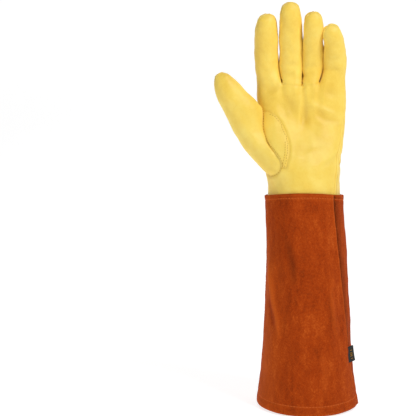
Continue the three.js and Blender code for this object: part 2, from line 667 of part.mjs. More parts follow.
// The cuff: a flared tube in two panels, doubled where it is hemmed
const topHemWall = 2 * SUEDE;
const cuffTopWidth = WRIST_WIDTH + 2 * (topHemWall + SEAM_GAP);
const cuffTopDepth = WRIST_DEPTH + 2 * (topHemWall + SEAM_GAP);
function cuffPoint(turn, up) {
  const row = (column) => fromTable(CUFF_SECTIONS, "up", up, column);
  const halfWidth = lerp(cuffTopWidth, MOUTH_WIDTH, row("flare")) / 2;
  const halfDepth = lerp(cuffTopDepth, MOUTH_DEPTH, row("flareDepth")) / 2;
  const p = ovalPoint(radians(turn), halfWidth, halfDepth, halfDepth, CUFF_POWER);
  let swell = 0;
  for (const fold of CUFF_FOLDS) {
    const share = (up - fold.from) / (fold.to - fold.from);
    if (share <= 0 || share >= 1) continue;
    const middle = lerp(fold.bottom, fold.top, share);
    const away = (((turn - middle + 540) % 360) - 180) / fold.half;
    swell += fold.depth * Math.exp(-away * away) * Math.sin(Math.PI * share);
  }
  const grow = 1 + swell / Math.hypot(p.x, p.y);
  return point(p.x * grow + row("lean") * CUFF_LEAN, p.y * grow, up * CUFF_LENGTH);
}
const hemLevels = [HEM_HEIGHT / CUFF_LENGTH, 1 - TOP_HEM_HEIGHT / CUFF_LENGTH];
const cuffLevels = [...CUFF_SECTIONS.map((s) => s.up), ...hemLevels];
const hemStep = 0.4; // height over which the wall thins above a hem
cuffLevels.push((HEM_HEIGHT + hemStep) / CUFF_LENGTH, 1 - (TOP_HEM_HEIGHT + hemStep) / CUFF_LENGTH);
const levels = [...new Set(cuffLevels.filter((up) => up !== 0.05))].sort((a, b) => a - b);
const cuffSkin = { points: [], quads: [], level: true };
const CUFF_COLUMNS = 2 * CUFF_QUADS;
const cuffTurns = (up) => {
  const seam = fromTable(CUFF_SECTIONS, "up", up, "seam");
  const turns = [];
  for (let i = 0; i < CUFF_QUADS; i++) turns.push(lerp(CUFF_THUMB_SEAM_DEG, seam, i / CUFF_QUADS));
  for (let i = 0; i < CUFF_QUADS; i++) turns.push(lerp(seam, CUFF_THUMB_SEAM_DEG + 360, i / CUFF_QUADS));
  return turns;
};
const cuffRings = levels.map((up) => {
  return cuffTurns(up).map((turn) => cuffSkin.points.push(cuffPoint(turn, up)) - 1);
});
for (let r = 0; r + 1 < cuffRings.length; r++) {
  for (let c = 0; c < CUFF_COLUMNS; c++) {
    const next = (c + 1) % CUFF_COLUMNS;
    const [low, high] = [cuffRings[r], cuffRings[r + 1]];
    const piece = c < CUFF_QUADS ? "cuff_front" : "cuff_back";
    cuffSkin.quads.push({ piece, corners: [low[c], low[next], high[next], high[c]] });
  }
}
const cuffWall = (p) => {
  const hemmed = p.z <= HEM_HEIGHT + 0.01 || p.z >= CUFF_LENGTH - TOP_HEM_HEIGHT - 0.01;
  return hemmed ? 2 * SUEDE : SUEDE;
};

// The woven tab grows out of the outer side seam and stands off the back panel
function sideTab() {
  const seamPoint = (z, further) => {
    return cuffPoint(fromTable(CUFF_SECTIONS, "up", z / CUFF_LENGTH, "seam") + further, z / CUFF_LENGTH);
  };
  const [low, high] = [TAB_RISE, TAB_RISE + TAB_HEIGHT].map((z) => seamPoint(z, -TAB_LEAD_DEG));
  const middle = TAB_RISE + TAB_HEIGHT / 2;
  const upwards = high.clone().sub(low).normalize();
  const round = seamPoint(middle, 8).sub(seamPoint(middle, 0));
  const outwards = new THREE.Vector3().crossVectors(round, upwards).normalize();
  const across = new THREE.Vector3().crossVectors(upwards, outwards);
  const lift = radians(TAB_LIFT_DEG);
  const along = across.clone().multiplyScalar(Math.cos(lift)).addScaledVector(outwards, Math.sin(lift));
  const face = new THREE.Vector3().crossVectors(along, upwards);
  const shape = new THREE.BoxGeometry(TAB_WIDTH, TAB_HEIGHT, TAB_THICKNESS);
  const centre = low.clone().lerp(high, 0.5).addScaledVector(along, TAB_WIDTH / 2 + 0.2);
  centre.addScaledVector(outwards, TAB_THICKNESS / 2 + SEAM_GAP);
  return shape.applyMatrix4(new THREE.Matrix4().makeBasis(along, upwards, face).setPosition(centre));
}

const wall = () => LEATHER;
const throughThumb = punch(seamRing, THUMB_HEADING, SEAM_GAP);
const leaf = GUSSET_EDGE.map(({ across, up }) => {
  const s = handSection(up);
  return point(s.centre + across * s.halfWidth, 0, CUFF_LENGTH + up * PALM_LENGTH);
});
const palmWhole = thicken(skin, "palm_panel", wall);
const pieces = {
  palm_panel: palmWhole.subtract(throughThumb).subtract(punch(leaf, PALM_HEADING, SEAM_GAP)),
  thumb_gusset: palmWhole.intersect(punch(leaf, PALM_HEADING, 0)).subtract(throughThumb),
  middle_front: thicken(skin, "middle_front", wall),
  ring_front: thicken(skin, "ring_front", wall),
  back_panel: thicken(skin, "back_panel", wall),
  thumb: thicken(thumbSkin, "thumb", wall),
  cuff_front: thicken(cuffSkin, "cuff_front", cuffWall),
  cuff_back: thicken(cuffSkin, "cuff_back", cuffWall),
};
for (const name of fourchetteNames) pieces[name] = thicken(skin, name, wall, STRIP_DRAW_BACK);

const leather = new THREE.MeshStandardMaterial({ color: 0xf2ca45, roughness: 0.55, metalness: 0 });
const suede = new THREE.MeshStandardMaterial({ color: 0x9e3f12, roughness: 0.95, metalness: 0 });
const woven = new THREE.MeshStandardMaterial({ color: 0x15130f, roughness: 0.8, metalness: 0 });

const gauntlet = new THREE.Group();
for (const [name, solid] of Object.entries(pieces)) {
  const made = solid.getMesh();
  const geometry = new THREE.BufferGeometry();
  geometry.setAttribute("position", new THREE.BufferAttribute(new Float32Array(made.vertProperties), 3));
  geometry.setIndex(new THREE.BufferAttribute(new Uint32Array(made.triVerts), 1));
  geometry.computeVertexNormals();
  const mesh = new THREE.Mesh(geometry, name.startsWith("cuff") ? suede : leather);
  mesh.name = name;
  gauntlet.add(mesh);
}
const tab = new THREE.Mesh(sideTab(), woven);
tab.name = "side_tab";
gauntlet.add(tab);

export default gauntlet;
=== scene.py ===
# %% [markdown]
# # A rose pruning gauntlet for the left hand
# The real glove is a hand of soft grain leather, sewn from shaped panels, in a long flared cuff of split
# suede. It could be painted on a smooth block, but leather is a thin sheet that is pulled in by every seam.
# So each panel is made here as a thin shell with its own seams, creases and stitches, and only the grain and
# the nap are left to the materials. All shapes are worked out in millimetres and turned into metres at the
# end.

# %% Load the fixed frame
import math

import bpy
import numpy as np
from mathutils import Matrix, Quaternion, Vector
from mathutils.bvhtree import BVHTree
from mathutils.kdtree import KDTree


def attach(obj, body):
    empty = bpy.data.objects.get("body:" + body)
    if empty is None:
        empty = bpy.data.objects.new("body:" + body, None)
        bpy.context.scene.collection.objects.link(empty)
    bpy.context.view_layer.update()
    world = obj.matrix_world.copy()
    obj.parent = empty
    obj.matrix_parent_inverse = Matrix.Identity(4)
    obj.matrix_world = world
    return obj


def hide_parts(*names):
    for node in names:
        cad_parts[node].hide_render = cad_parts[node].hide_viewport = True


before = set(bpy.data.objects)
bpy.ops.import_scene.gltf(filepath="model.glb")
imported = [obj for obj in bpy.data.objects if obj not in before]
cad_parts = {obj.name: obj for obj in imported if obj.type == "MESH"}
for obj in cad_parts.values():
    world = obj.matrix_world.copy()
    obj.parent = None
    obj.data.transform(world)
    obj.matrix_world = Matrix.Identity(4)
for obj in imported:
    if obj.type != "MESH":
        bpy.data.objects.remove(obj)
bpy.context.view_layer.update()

MM = 0.001
LEATHER, SUEDE = 1.35, 1.3  # walls in millimetres

# %% [markdown]
# ## The pattern of the hand
# A glove maker cuts the hand from a pattern: a palm with the index and little finger in one, two separate
# fronts for the middle fingers, a back, and narrow strips between the fingers. The sizes of the solid model
# are written here again as short tables, one list for each column, so that a change of size is a change of
# one number. A table is read between its rows by plain interpolation.

# %% Sizes of the hand, in millimetres and degrees
CUFF_LENGTH, CUFF_LEAN = 219, -4.8
WRIST_WIDTH, WRIST_DEPTH, TUCK = 77, 80, 14
PALM_LENGTH, PALM_LEAN, FORK_GAP, BACK_FORK_RISE = 115, -2.4, 0.8, 14
GATHER_PINCH, FRONT_FADE, WEB_SAG = 1.6, 0.35, 1.8
WRIST_SHARE, FLAT_SHARE, FLAT_FROM = 0.76, 0.86, 0.45
QUADS, FINGER_COLUMNS = 4, 16
# Lean and curl run from root to tip, and full is what the leather adds to the width of the solid model
FINGERS = [
    dict(name="index", width=23.6, depth=21.4, length=69.6, lean=(-3.3, 2.6), curl=(6, 31),
         taper=0.07, fork=0.6, full=1.6),
    dict(name="middle", width=23.4, depth=21.8, length=82.2, lean=(1.6, -1.6), curl=(6, 30),
         taper=0.04, fork=-1.2, full=1.3),
    dict(name="ring", width=19.8, depth=19.6, length=72.8, lean=(3.6, -1.8), curl=(8, 37),
         taper=0.04, fork=0.9, full=2.0),
    dict(name="little", width=24.6, depth=20.6, length=59, lean=(8, -17), curl=(12, 41),
         taper=0.19, fork=0, full=0.6),
]
FINGER_SECTIONS = dict(
    along=[0.14, 0.28, 0.4, 0.53, 0.66, 0.77, 0.86, 0.93, 0.975],
    wide=[1.0, 1.015, 1.01, 1.0, 0.965, 0.93, 0.86, 0.72, 0.47],
    deep=[1.0, 1.0, 0.95, 1.0, 0.94, 0.93, 0.86, 0.71, 0.45],
)
HAND_SECTIONS = dict(
    up=[0, 0.1, 0.19, 0.27, 0.35, 0.45, 0.56, 0.68, 0.81, 0.92, 1],
    spread=[0, -0.04, -0.04, 0, 0.11, 0.33, 0.62, 0.82, 0.94, 0.98, 1],
    front=[1, 0.97, 0.95, 0.92, 0.84, 0.73, 0.62, 0.53, 0.48, 0.43, 0.37],
    back=[1, 0.97, 0.94, 0.92, 0.84, 0.71, 0.6, 0.5, 0.46, 0.41, 0.35],
    shift=[0, 0, 0, 0.01, 0.04, 0.12, 0.19, 0.22, 0.22, 0.2, 0.17],
    power=[2.1, 2.1, 2.1, 2.15, 2.15, 2.2, 2.3, 2.4, 2.5, 2.55, 2.6],
    gather=[0, 0.2, 0.65, 1, 0.6, 0.15, 0, 0, 0, 0, 0],
    valley=[0, 0, 0, 0, 0, 0, 0, 0.01, 0.05, 0.1, 0.2],
)
SIDE_SEAMS = dict(
    up=[0, 0.3, 0.55, 0.75, 1],
    thumb=[-113, -122, -133, -136, -136],
    outer=[60, 66, 72, 76, 80],
)
INDEX_SEAM = dict(along=[0, 0.14, 0.28, 0.4, 0.66, 1], turn=[184, 200, 228, 244, 262, 272])
PALM_HOLLOWS = [  # across, up, reach, depth
    (-0.12, 0.7, 13, 2.2), (0.22, 0.62, 12, 1.8), (0.5, 0.3, 16, 1.4), (-0.95, 0.5, 27, -11),
]

KNUCKLE_WIDTH = sum(f["width"] for f in FINGERS) + FORK_GAP * 3
KNUCKLE_CENTRE = CUFF_LEAN + PALM_LEAN
fork_places = [KNUCKLE_CENTRE - KNUCKLE_WIDTH / 2]
for i, finger in enumerate(FINGERS):
    fork_places.append(fork_places[-1] + finger["width"] + FORK_GAP * (0.5 if i in (0, 3) else 1))
fork_rises = [0] + [f["fork"] for f in FINGERS]
print("the knuckles are", round(KNUCKLE_WIDTH, 1), "mm wide")


# %% Small helpers for reading and shaping
def read(table, place, column):
    """One column of a table at a place between its rows. The first column holds the rows' places."""
    key = next(iter(table))
    return float(np.interp(place, table[key], table[column]))


def lerp(a, b, share):
    return a + (b - a) * share


def bell(distance, half, power=2):
    """1 on a line, falling smoothly to nothing a few half widths beside it."""
    return np.exp(-np.abs(distance / half) ** power)


def smoothstep(x, low, high):
    t = np.clip((x - low) / (high - low), 0, 1)
    return t * t * (3 - 2 * t)


def oval(angle, half_width, half_depth, power):
    def signed(v):
        return math.copysign(abs(v) ** (2 / power), v)
    return half_width * signed(math.sin(angle)), -half_depth * signed(math.cos(angle))


def unit(v):
    return v / np.linalg.norm(v)


half_palm = read(HAND_SECTIONS, 0.5, "front") * WRIST_DEPTH / 2
print("halfway up, the palm stands", round(half_palm, 1), "mm from the hand's middle")

# %% [markdown]
# ## The hand as one cage of quads
# The hand and its four fingers are one continuous skin, so that the forks between the fingers come out as the
# smooth saddles that leather makes. It starts as a coarse cage of rings. Each quad carries the number of the
# panel that it belongs to, and subdivision hands that number on to its children, so the panels' borders turn
# into smooth seam lines by themselves.

# %% One section of the hand, and where its columns stand
FRONT_COLUMNS = 4 * QUADS
BACK_START = FRONT_COLUMNS + QUADS
BACK_END = BACK_START + FRONT_COLUMNS
HAND_COLUMNS = BACK_END + QUADS
PANELS = ["palm_panel", "back_panel", "middle_front", "ring_front", "fourchette_index_middle",
          "fourchette_middle_ring", "fourchette_ring_little", "thumb_gusset"]
STRIPS, PALM = PANELS[4:7], PANELS.index("palm_panel")


def hand_section(up):
    s = {column: read(HAND_SECTIONS, up, column) for column in HAND_SECTIONS}
    s["centre"] = CUFF_LEAN + PALM_LEAN * max(s["spread"], 0)
    s["half_width"] = lerp(WRIST_WIDTH, KNUCKLE_WIDTH, s["spread"]) / 2
    for column in ("front", "back", "shift"):
        s[column] *= WRIST_DEPTH / 2
    return s


def column_turn(column, s, up):
    """The angle of a column: forks and seams stay on their columns at every height."""
    def edge(share):
        return math.degrees(math.asin(math.copysign(abs(share) ** (s["power"] / 2), share)))

    def share_at(c):
        f = min(int(c // QUADS), 3)
        x = lerp(fork_places[f], fork_places[f + 1], c / QUADS - f)
        return (x - KNUCKLE_CENTRE) / (KNUCKLE_WIDTH / 2) * flat_share

    flat_share = lerp(WRIST_SHARE, FLAT_SHARE, min(up / FLAT_FROM, 1))
    front_edge, half = edge(flat_share), QUADS / 2
    outer, thumb = read(SIDE_SEAMS, up, "outer"), read(SIDE_SEAMS, up, "thumb")
    if column <= FRONT_COLUMNS:
        return edge(share_at(column))
    if column < BACK_START:
        step = column - FRONT_COLUMNS
        if step < half:
            return lerp(front_edge, outer, step / half)
        return lerp(outer, 180 - front_edge, (step - half) / half)
    first_fork = BACK_END - QUADS
    if column <= first_fork:
        return 180 - edge(share_at(FRONT_COLUMNS - (column - BACK_START)))
    if column <= BACK_END:
        return lerp(180 - edge(share_at(QUADS)), thumb + 360, (column - first_fork) / QUADS)
    return lerp(thumb, -front_edge, (column - BACK_END) / QUADS)


def top_of(column, turn):
    """How far the hand reaches up at a column: the forks lie higher on the back than on the palm."""
    on_back = (1 - math.cos(math.radians(turn))) / 2
    along = column if column <= FRONT_COLUMNS else max(0, min(FRONT_COLUMNS, BACK_END - column))
    f = min(along // QUADS, 3)
    return PALM_LENGTH + lerp(fork_rises[f], fork_rises[f + 1], along / QUADS - f) + BACK_FORK_RISE * on_back


def hand_point(turn, up, height=PALM_LENGTH, draw_in=0.0):
    s = hand_section(up)
    angle = math.radians(turn)
    half_depth = s["front"] if math.cos(angle) > 0 else s["back"]
    x, y = oval(angle, s["half_width"], half_depth, s["power"])
    y *= 1 - draw_in
    frontness = smoothstep(math.cos(angle), 0, FRONT_FADE)
    for across, at, reach, depth in PALM_HOLLOWS:
        away = math.hypot(x - across * s["half_width"], (up - at) * PALM_LENGTH)
        y += depth * frontness * bell(away, reach)
    return np.array([s["centre"] + x, s["shift"] + y, CUFF_LENGTH + up * height])


print("each section of the hand has", HAND_COLUMNS, "columns")

# %% A cage for the palm, the back and the wrist
cage, cage_faces, cage_panels = [], [], []


def add_point(p):
    cage.append(np.array(p, float))
    return len(cage) - 1


def add_quad(panel, *corners):
    corners = list(dict.fromkeys(corners))
    cage_faces.append(corners)
    cage_panels.append(PANELS.index(panel))


hand_rings = []
for up, level in [(0, CUFF_LENGTH - TUCK)] + [(up, None) for up in HAND_SECTIONS["up"]]:
    s, ring = hand_section(up), []
    for c in range(HAND_COLUMNS):
        turn = column_turn(c, s, up)
        front_fork = c % QUADS == 0 and 0 < c < FRONT_COLUMNS
        back_fork = BACK_START < c < BACK_END and (c - BACK_START) % QUADS == 0
        p = hand_point(turn, up, top_of(c, turn), s["valley"] if front_fork or back_fork else 0)
        if level is not None:
            p[2] = level
        if BACK_START - 1 <= c <= BACK_END + 1:
            p[1] -= GATHER_PINCH * s["gather"]
        ring.append(add_point(p))
    hand_rings.append(ring)


def hand_panel(row, column):
    """The panel of a quad. The strips' ends reach over onto the back as short bars below the forks."""
    if column < FRONT_COLUMNS + QUADS // 2 or column >= BACK_END:
        return "palm_panel"
    if row == len(hand_rings) - 2:
        for f in (1, 2, 3):
            fork = BACK_START + QUADS * (4 - f)
            if column in (fork, fork - 1):
                return STRIPS[f - 1]
    return "back_panel"


for r in range(len(hand_rings) - 1):
    for c in range(HAND_COLUMNS):
        n = (c + 1) % HAND_COLUMNS
        low, high = hand_rings[r], hand_rings[r + 1]
        add_quad(hand_panel(r, c), low[c], low[n], high[n], high[c])
print("the palm and the back have", len(cage_faces), "quads")

# %% The fingers grow out of the same cage
top_ring = hand_rings[-1]
webs = []
for i in range(3):
    front = cage[top_ring[QUADS * (i + 1)]]
    back = cage[top_ring[BACK_START + QUADS * (3 - i)]]
    web = []
    for step in range(1, QUADS):
        p = lerp(front, back, step / QUADS)
        p[2] = lerp(front[2], back[2], (step / QUADS) ** WEB_SAG)
        web.append(add_point(p))
    webs.append(web)


def finger_base(f):
    """The ring of points that a finger shares with the hand and with the webs beside it."""
    ring = []
    for j in range(FINGER_COLUMNS):
        if j <= QUADS:
            ring.append(top_ring[QUADS * f + j])
        elif j < 2 * QUADS:
            ring.append(top_ring[FRONT_COLUMNS + j - QUADS] if f == 3 else webs[f][j - QUADS - 1])
        elif j <= 3 * QUADS:
            ring.append(top_ring[BACK_START + QUADS * (3 - f) + j - 2 * QUADS])
        else:
            step = j - 3 * QUADS
            ring.append(top_ring[BACK_END + step] if f == 0 else webs[f - 1][QUADS - 1 - step])
    return ring


def finger_panel(f, j):
    half = QUADS // 2
    if j < QUADS + half or j >= (3 * QUADS if f == 0 else FINGER_COLUMNS - half):
        return "palm_panel" if f in (0, 3) else FINGERS[f]["name"] + "_front"
    if f < 3 and j <= 2 * QUADS:
        return STRIPS[f]
    if f > 0 and j >= 3 * QUADS - 1:
        return STRIPS[f - 1]
    return "back_panel"


def section_axes(direction):
    """Across and towards the back, for a section that stands square to a direction."""
    across = unit(np.cross((0, 1, 0), direction))
    return across, np.cross(direction, across)


def finger_turn(f, j, along):
    """The angle of a finger's column. On the index finger the seam wanders round to its thumb side."""
    even = -45 + 360 * j / FINGER_COLUMNS
    if f > 0 or j <= 2 * QUADS:
        return even
    seam = read(INDEX_SEAM, along, "turn")
    if j <= 3 * QUADS:
        return lerp(135, seam, (j - 2 * QUADS) / QUADS)
    return lerp(seam, 315, (j - 3 * QUADS) / QUADS)


print("each web between two fingers has", len(webs[0]), "points")


# %% Walk up each finger and add its rings
WALK_STEPS, FINGER_POWER, TIP_SET_BACK, TIP_FROM = 60, 2.15, 0.1, 0.75


def finger_line(f):
    """Places and directions along a finger, which leans and curls more with every step."""
    finger = FINGERS[f]
    rise = (fork_rises[f] + fork_rises[f + 1] + BACK_FORK_RISE) / 2
    at = np.array([(fork_places[f] + fork_places[f + 1]) / 2, hand_section(1)["shift"],
                   CUFF_LENGTH + PALM_LENGTH + rise])
    line = []
    for i in range(WALK_STEPS + 1):
        lean = math.radians(lerp(*finger["lean"], i / WALK_STEPS))
        curl = math.radians(lerp(*finger["curl"], i / WALK_STEPS))
        direction = unit(np.array([math.sin(lean), -math.sin(curl), math.cos(curl) * math.cos(lean)]))
        line.append((at.copy(), direction))
        at = at + direction * finger["length"] / WALK_STEPS
    return line


for f, finger in enumerate(FINGERS):
    line, rings = finger_line(f), [finger_base(f)]
    for along, wide, deep in zip(*FINGER_SECTIONS.values()):
        at, direction = line[round(along * WALK_STEPS)]
        across, back = section_axes(direction)
        set_back = TIP_SET_BACK * finger["depth"] * max(0, along - TIP_FROM) / (1 - TIP_FROM)
        half_width = wide * (finger["width"] + finger["full"]) * (1 - finger["taper"] * along) / 2
        half_depth = deep * finger["depth"] / 2
        ring = []
        for j in range(FINGER_COLUMNS):
            x, y = oval(math.radians(finger_turn(f, j, along)), half_width, half_depth, FINGER_POWER)
            ring.append(add_point(at + across * x + back * (y + set_back)))
        rings.append(ring)
    at, direction = line[-1]
    tip = add_point(at + section_axes(direction)[1] * TIP_SET_BACK * finger["depth"])
    rings.append([tip] * FINGER_COLUMNS)
    for low, high in zip(rings, rings[1:]):
        for j in range(FINGER_COLUMNS):
            n = (j + 1) % FINGER_COLUMNS
            add_quad(finger_panel(f, j), low[j], low[n], high[n], high[j])
print("the hand's cage has", len(cage), "points and", len(cage_faces), "faces")

# %% [markdown]
# ## From cage to smooth skin
# Catmull-Clark subdivision is what the Subdivision Surface modifier does. It rounds the cage nicely, but it
# also pulls the surface in, by a few hundredths of a finger's width. So the cage is first pushed outwards by
# as much as its points sink, until the smooth skin passes through the measured points.

# %% Subdivide with the modifier and read the result back
def mesh_arrays(mesh):
    """A mesh of quads as arrays: its points, the corners of its faces and their panels."""
    co = np.empty(len(mesh.vertices) * 3, np.float32)
    mesh.vertices.foreach_get("co", co)
    corners = np.empty(len(mesh.loops), np.int32)
    mesh.loops.foreach_get("vertex_index", corners)
    panels = np.empty(len(mesh.polygons), np.int32)
    mesh.polygons.foreach_get("material_index", panels)
    return co.reshape(-1, 3).astype(float), corners.reshape(-1, 4), panels


def subdivided(points, faces, panels, levels):
    mesh = bpy.data.meshes.new("cage")
    mesh.from_pydata([tuple(p) for p in points], [], faces)
    for _ in PANELS:
        mesh.materials.append(None)
    mesh.polygons.foreach_set("material_index", panels)
    obj = bpy.data.objects.new("cage", mesh)
    bpy.context.scene.collection.objects.link(obj)
    smooth = obj.modifiers.new("smooth", "SUBSURF")
    smooth.levels = levels
    smooth.use_limit_surface = True
    made = obj.evaluated_get(bpy.context.evaluated_depsgraph_get())
    arrays = mesh_arrays(made.to_mesh())
    made.to_mesh_clear()
    bpy.data.objects.remove(obj)
    bpy.data.meshes.remove(mesh)
    return arrays


SKIN_LEVELS = 3
target = np.array(cage)
cage_now = target.copy()
for _ in range(2):
    cage_now += target - subdivided(cage_now, cage_faces, cage_panels, 1)[0][: len(target)]
skin, skin_quads, skin_panels = subdivided(cage_now, cage_faces, cage_panels, SKIN_LEVELS)
print("the smooth skin has", len(skin), "points; panels", np.bincount(skin_panels).tolist())


# %% Normals, ripples and distances on a mesh of quads
def point_normals(points, quads):
    a, b, c, d = (points[quads[:, k]] for k in range(4))
    face = np.cross(c - a, d - b)
    normals = np.zeros_like(points)
    for k in range(4):
        for axis in range(3):
            normals[:, axis] += np.bincount(quads[:, k], face[:, axis], len(points))
    return normals / np.maximum(np.linalg.norm(normals, axis=1, keepdims=True), 1e-9)


def waves(points, size, seed, count=14):
    """Soft uneven undulations about as long as size, from a fixed seed, roughly from -1 to 1."""
    rng = np.random.default_rng(seed)
    total = np.zeros(len(points))
    for _ in range(count):
        heading = rng.normal(size=3)
        heading *= 2 * math.pi / (size * rng.uniform(0.7, 1.5) * np.linalg.norm(heading))
        total += np.sin(points @ heading + rng.uniform(0, 2 * math.pi))
    return total / math.sqrt(count)


def rippled(points, ripples):
    """The sum of several waves, each given by its height, its size and its seed."""
    return sum(height * waves(points, size, seed) for height, size, seed in ripples)


def distance_to(points, places, reach):
    """Distance from each point to the nearest place, never more than reach, and which place that is."""
    tree = KDTree(len(places))
    for i, p in enumerate(places):
        tree.insert(p, i)
    tree.balance()
    low, high = np.min(places, 0) - reach, np.max(places, 0) + reach
    out, nearest = np.full(len(points), float(reach)), np.zeros(len(points), int)
    for i in np.flatnonzero(((points > low) & (points < high)).all(1)):
        _, nearest[i], away = tree.find(points[i])
        out[i] = min(reach, away)
    return out, nearest


def smooth_line(places, steps=8, closed=False):
    """Catmull-Rom curve through some places, which may be points or whole rings."""
    v = np.array(places, float)
    if closed:
        v = np.concatenate([v[-1:], v, v[:2]])
    else:
        v = np.concatenate([2 * v[:1] - v[1:2], v, 2 * v[-1:] - v[-2:-1]])
    out = []
    for k in range(1, len(v) - 2):
        for t in np.arange(steps) / steps:
            out.append(0.5 * (2 * v[k] + (v[k + 1] - v[k - 1]) * t
                              + (2 * v[k - 1] - 5 * v[k] + 4 * v[k + 1] - v[k + 2]) * t**2
                              + (3 * v[k] - v[k - 1] - 3 * v[k + 1] + v[k + 2]) * t**3))
    if not closed:
        out.append(v[-2])
    return np.array(out)


normals = point_normals(skin, skin_quads)
print("share of the skin that faces the palm's side:", round(float((normals[:, 1] < 0).mean()), 2))

# %% [markdown]
# ## Folds and creases of worn leather
# Leather doesn't crease at random: it folds where a hand bends. The creases below are short lines drawn on a
# side view of the glove, given by the direction of the view. Every point of the skin that faces that view
# and lies near such a line is moved in, or out for a ridge. The width and depth are real millimetres.

# %% Creases of the palm and of the back
CREASES = [  # view, half width, depth (negative for a ridge), places across and up that view
    (0, 3.5, 1.89, [(-45, 327), (-34, 331), (-28.5, 337)]),
    (0, 5.5, 2.46, [(-22, 323), (-18, 312), (-15, 304)]),
    (0, 2.2, -0.94, [(-8, 322), (-8, 305), (-9, 290)]),
    (0, 4.5, 2.26, [(-3, 313), (-4, 300), (-3, 292)]),
    (0, 2.6, -1.89, [(1, 315), (14, 309), (27, 303), (37, 300)]),
    (0, 3.2, 1.69, [(8, 304), (20, 298), (35, 296)]),
    (0, 4.5, 1.31, [(17, 330), (24, 326), (33, 320)]),
    (0, 3.4, 0.55, [(-14, 270), (-2, 268.5), (9, 269.5), (22, 267)]),
    (0, 2.2, 0.94, [(31, 263), (25, 256), (17, 251)]),
    (0, 3.5, 1.13, [(-30, 316), (-24, 308), (-21, 297)]),
    (0, 3.5, 0.94, [(5, 285), (14, 276), (24, 271)]),
    (0, 2.6, 0.94, [(-46, 347), (-41, 348.5), (-35, 347.5)]),
    (0, 2.6, 0.75, [(-22, 355), (-17, 356), (-12, 355)]),
    (0, 2.6, 0.75, [(1, 353), (5, 354), (10, 353)]),
    (0, 2.6, 0.94, [(22, 349), (28, 350), (34, 348.5)]),
    (227, 3.2, 1.45, [(-16, 292), (-9, 281), (-1, 268), (5, 258)]),
    (227, 3.0, 1.16, [(-4, 296), (2, 280), (6, 268)]),
    (227, 4.0, -1.01, [(-8, 296), (-1, 283), (4, 272)]),
    (227, 3.5, 1.01, [(-34, 344), (-27, 338), (-22, 337)]),
    (227, 4.0, 0.87, [(-36, 318), (-29, 316), (-22, 318)]),
    (227, 2.6, 1.3, [(12, 342), (16, 338), (22, 337)]),
    (227, 2.4, 1.01, [(13, 332), (18, 331), (25, 333)]),
    (227, 3.4, 1.01, [(17, 320), (23, 316), (28, 309)]),
    (300, 3.2, 1.16, [(-12, 348), (-5, 345), (4, 345)]),
    (180, 3.4, 1.16, [(-34, 350), (-27, 348), (-20, 349)]),
    (180, 3.4, 0.87, [(-12, 356), (-4, 355), (3, 356)]),
    (180, 3.4, 0.87, [(11, 358), (19, 357), (27, 358)]),
    (180, 3.4, 0.87, [(34, 352), (40, 351), (46, 353)]),
    (180, 3.6, 1.3, [(-24, 296), (-16, 284), (-8, 270)]),
    (180, 3.4, 1.16, [(14, 292), (10, 280), (4, 268)]),
    (90, 3.5, 0.4, [(-8, 262), (0, 258), (9, 259)]),
]


def creased(points, normals, lines):
    moved = np.zeros(len(points))
    for view, half, depth, places in lines:
        a = math.radians(view)
        across = points @ (math.cos(a), math.sin(a), 0)
        facing = smoothstep(normals @ (math.sin(a), -math.cos(a), 0), 0.1, 0.5)
        flat = np.stack([across, points[:, 2]], 1)
        line = smooth_line(places, 10)
        away = np.full(len(points), 1e9)
        share = np.zeros(len(points))
        for k, p in enumerate(line):
            d = np.hypot(*(flat - p).T)
            share = np.where(d < away, k / (len(line) - 1), share)
            away = np.minimum(away, d)
        fade = 0.25 + 0.75 * np.sin(math.pi * np.clip(share, 0, 1)) ** 0.7
        moved -= depth * facing * fade * bell(away, half)
    return moved


HOLLOW_SHADE, HOLLOW_DEPTH, RIDGE_SHADE = 0.75, 2.4, -0.4
HAND_RIPPLES = [(0.35, 26, 3), (0.14, 9, 4)]  # height, size, seed
SIDE_FILLS = [(1, 272, 44, 2.0), (-1, 224, 9, -1.4), (-1, 243, 8, 1.2)]  # side, height, reach, fill
lift = creased(skin, normals, CREASES)
# Painted shade in the creases' hollows and a weaker painted highlight on their ridges, for the leather's
# colour
crease_painted_shade = HOLLOW_SHADE * np.clip(-lift / HOLLOW_DEPTH, RIDGE_SHADE, 1)
lift += rippled(skin, HAND_RIPPLES)
for side, at, reach, fill in SIDE_FILLS:
    lift += fill * smoothstep(normals[:, 0] * side, 0.3, 0.95) * bell(skin[:, 2] - at, reach)
print("creases move the skin from", round(lift.min(), 2), "to", round(lift.max(), 2), "mm")

# %% Pleats where the elastic gathers the back of the wrist
ELASTIC_Z, PLEAT_PITCH, PLEAT_HEIGHT, PLEAT_SINK = 250.7, 6.8, 0.75, 0.5
PLEAT_WANDER, PLEAT_TILT, REACH_UP, REACH_DOWN = 1.6, 0.12, 15, 11
GROOVE_DEPTH, GROOVE_HALF, TUCK_SQUEEZE = 0.9, 3.2, 2.0
on_back = np.zeros(len(skin), bool)
on_back[skin_quads[skin_panels == PANELS.index("back_panel")]] = True
round_back = np.arctan2(skin[:, 0] - CUFF_LEAN, -skin[:, 1]) % (2 * math.pi) * WRIST_WIDTH / 2
above = skin[:, 2] - ELASTIC_Z
wander = PLEAT_WANDER * waves(skin * (1, 1, 0.25), 30, 8)
pleat = np.sin(2 * math.pi * (round_back + wander + PLEAT_TILT * above) / PLEAT_PITCH)
lift += on_back * (PLEAT_HEIGHT * pleat - PLEAT_SINK) * bell(above, np.where(above > 0, REACH_UP, REACH_DOWN))
lift -= on_back * GROOVE_DEPTH * bell(above, GROOVE_HALF)
# The wrist's end is squeezed a little, so that it slips into the cuff
lift -= TUCK_SQUEEZE * (1 - smoothstep(skin[:, 2], CUFF_LENGTH - 8, CUFF_LENGTH - 2))
skin += normals * lift[:, None]
print("the elastic gathers", int(on_back.sum()), "points of the back")

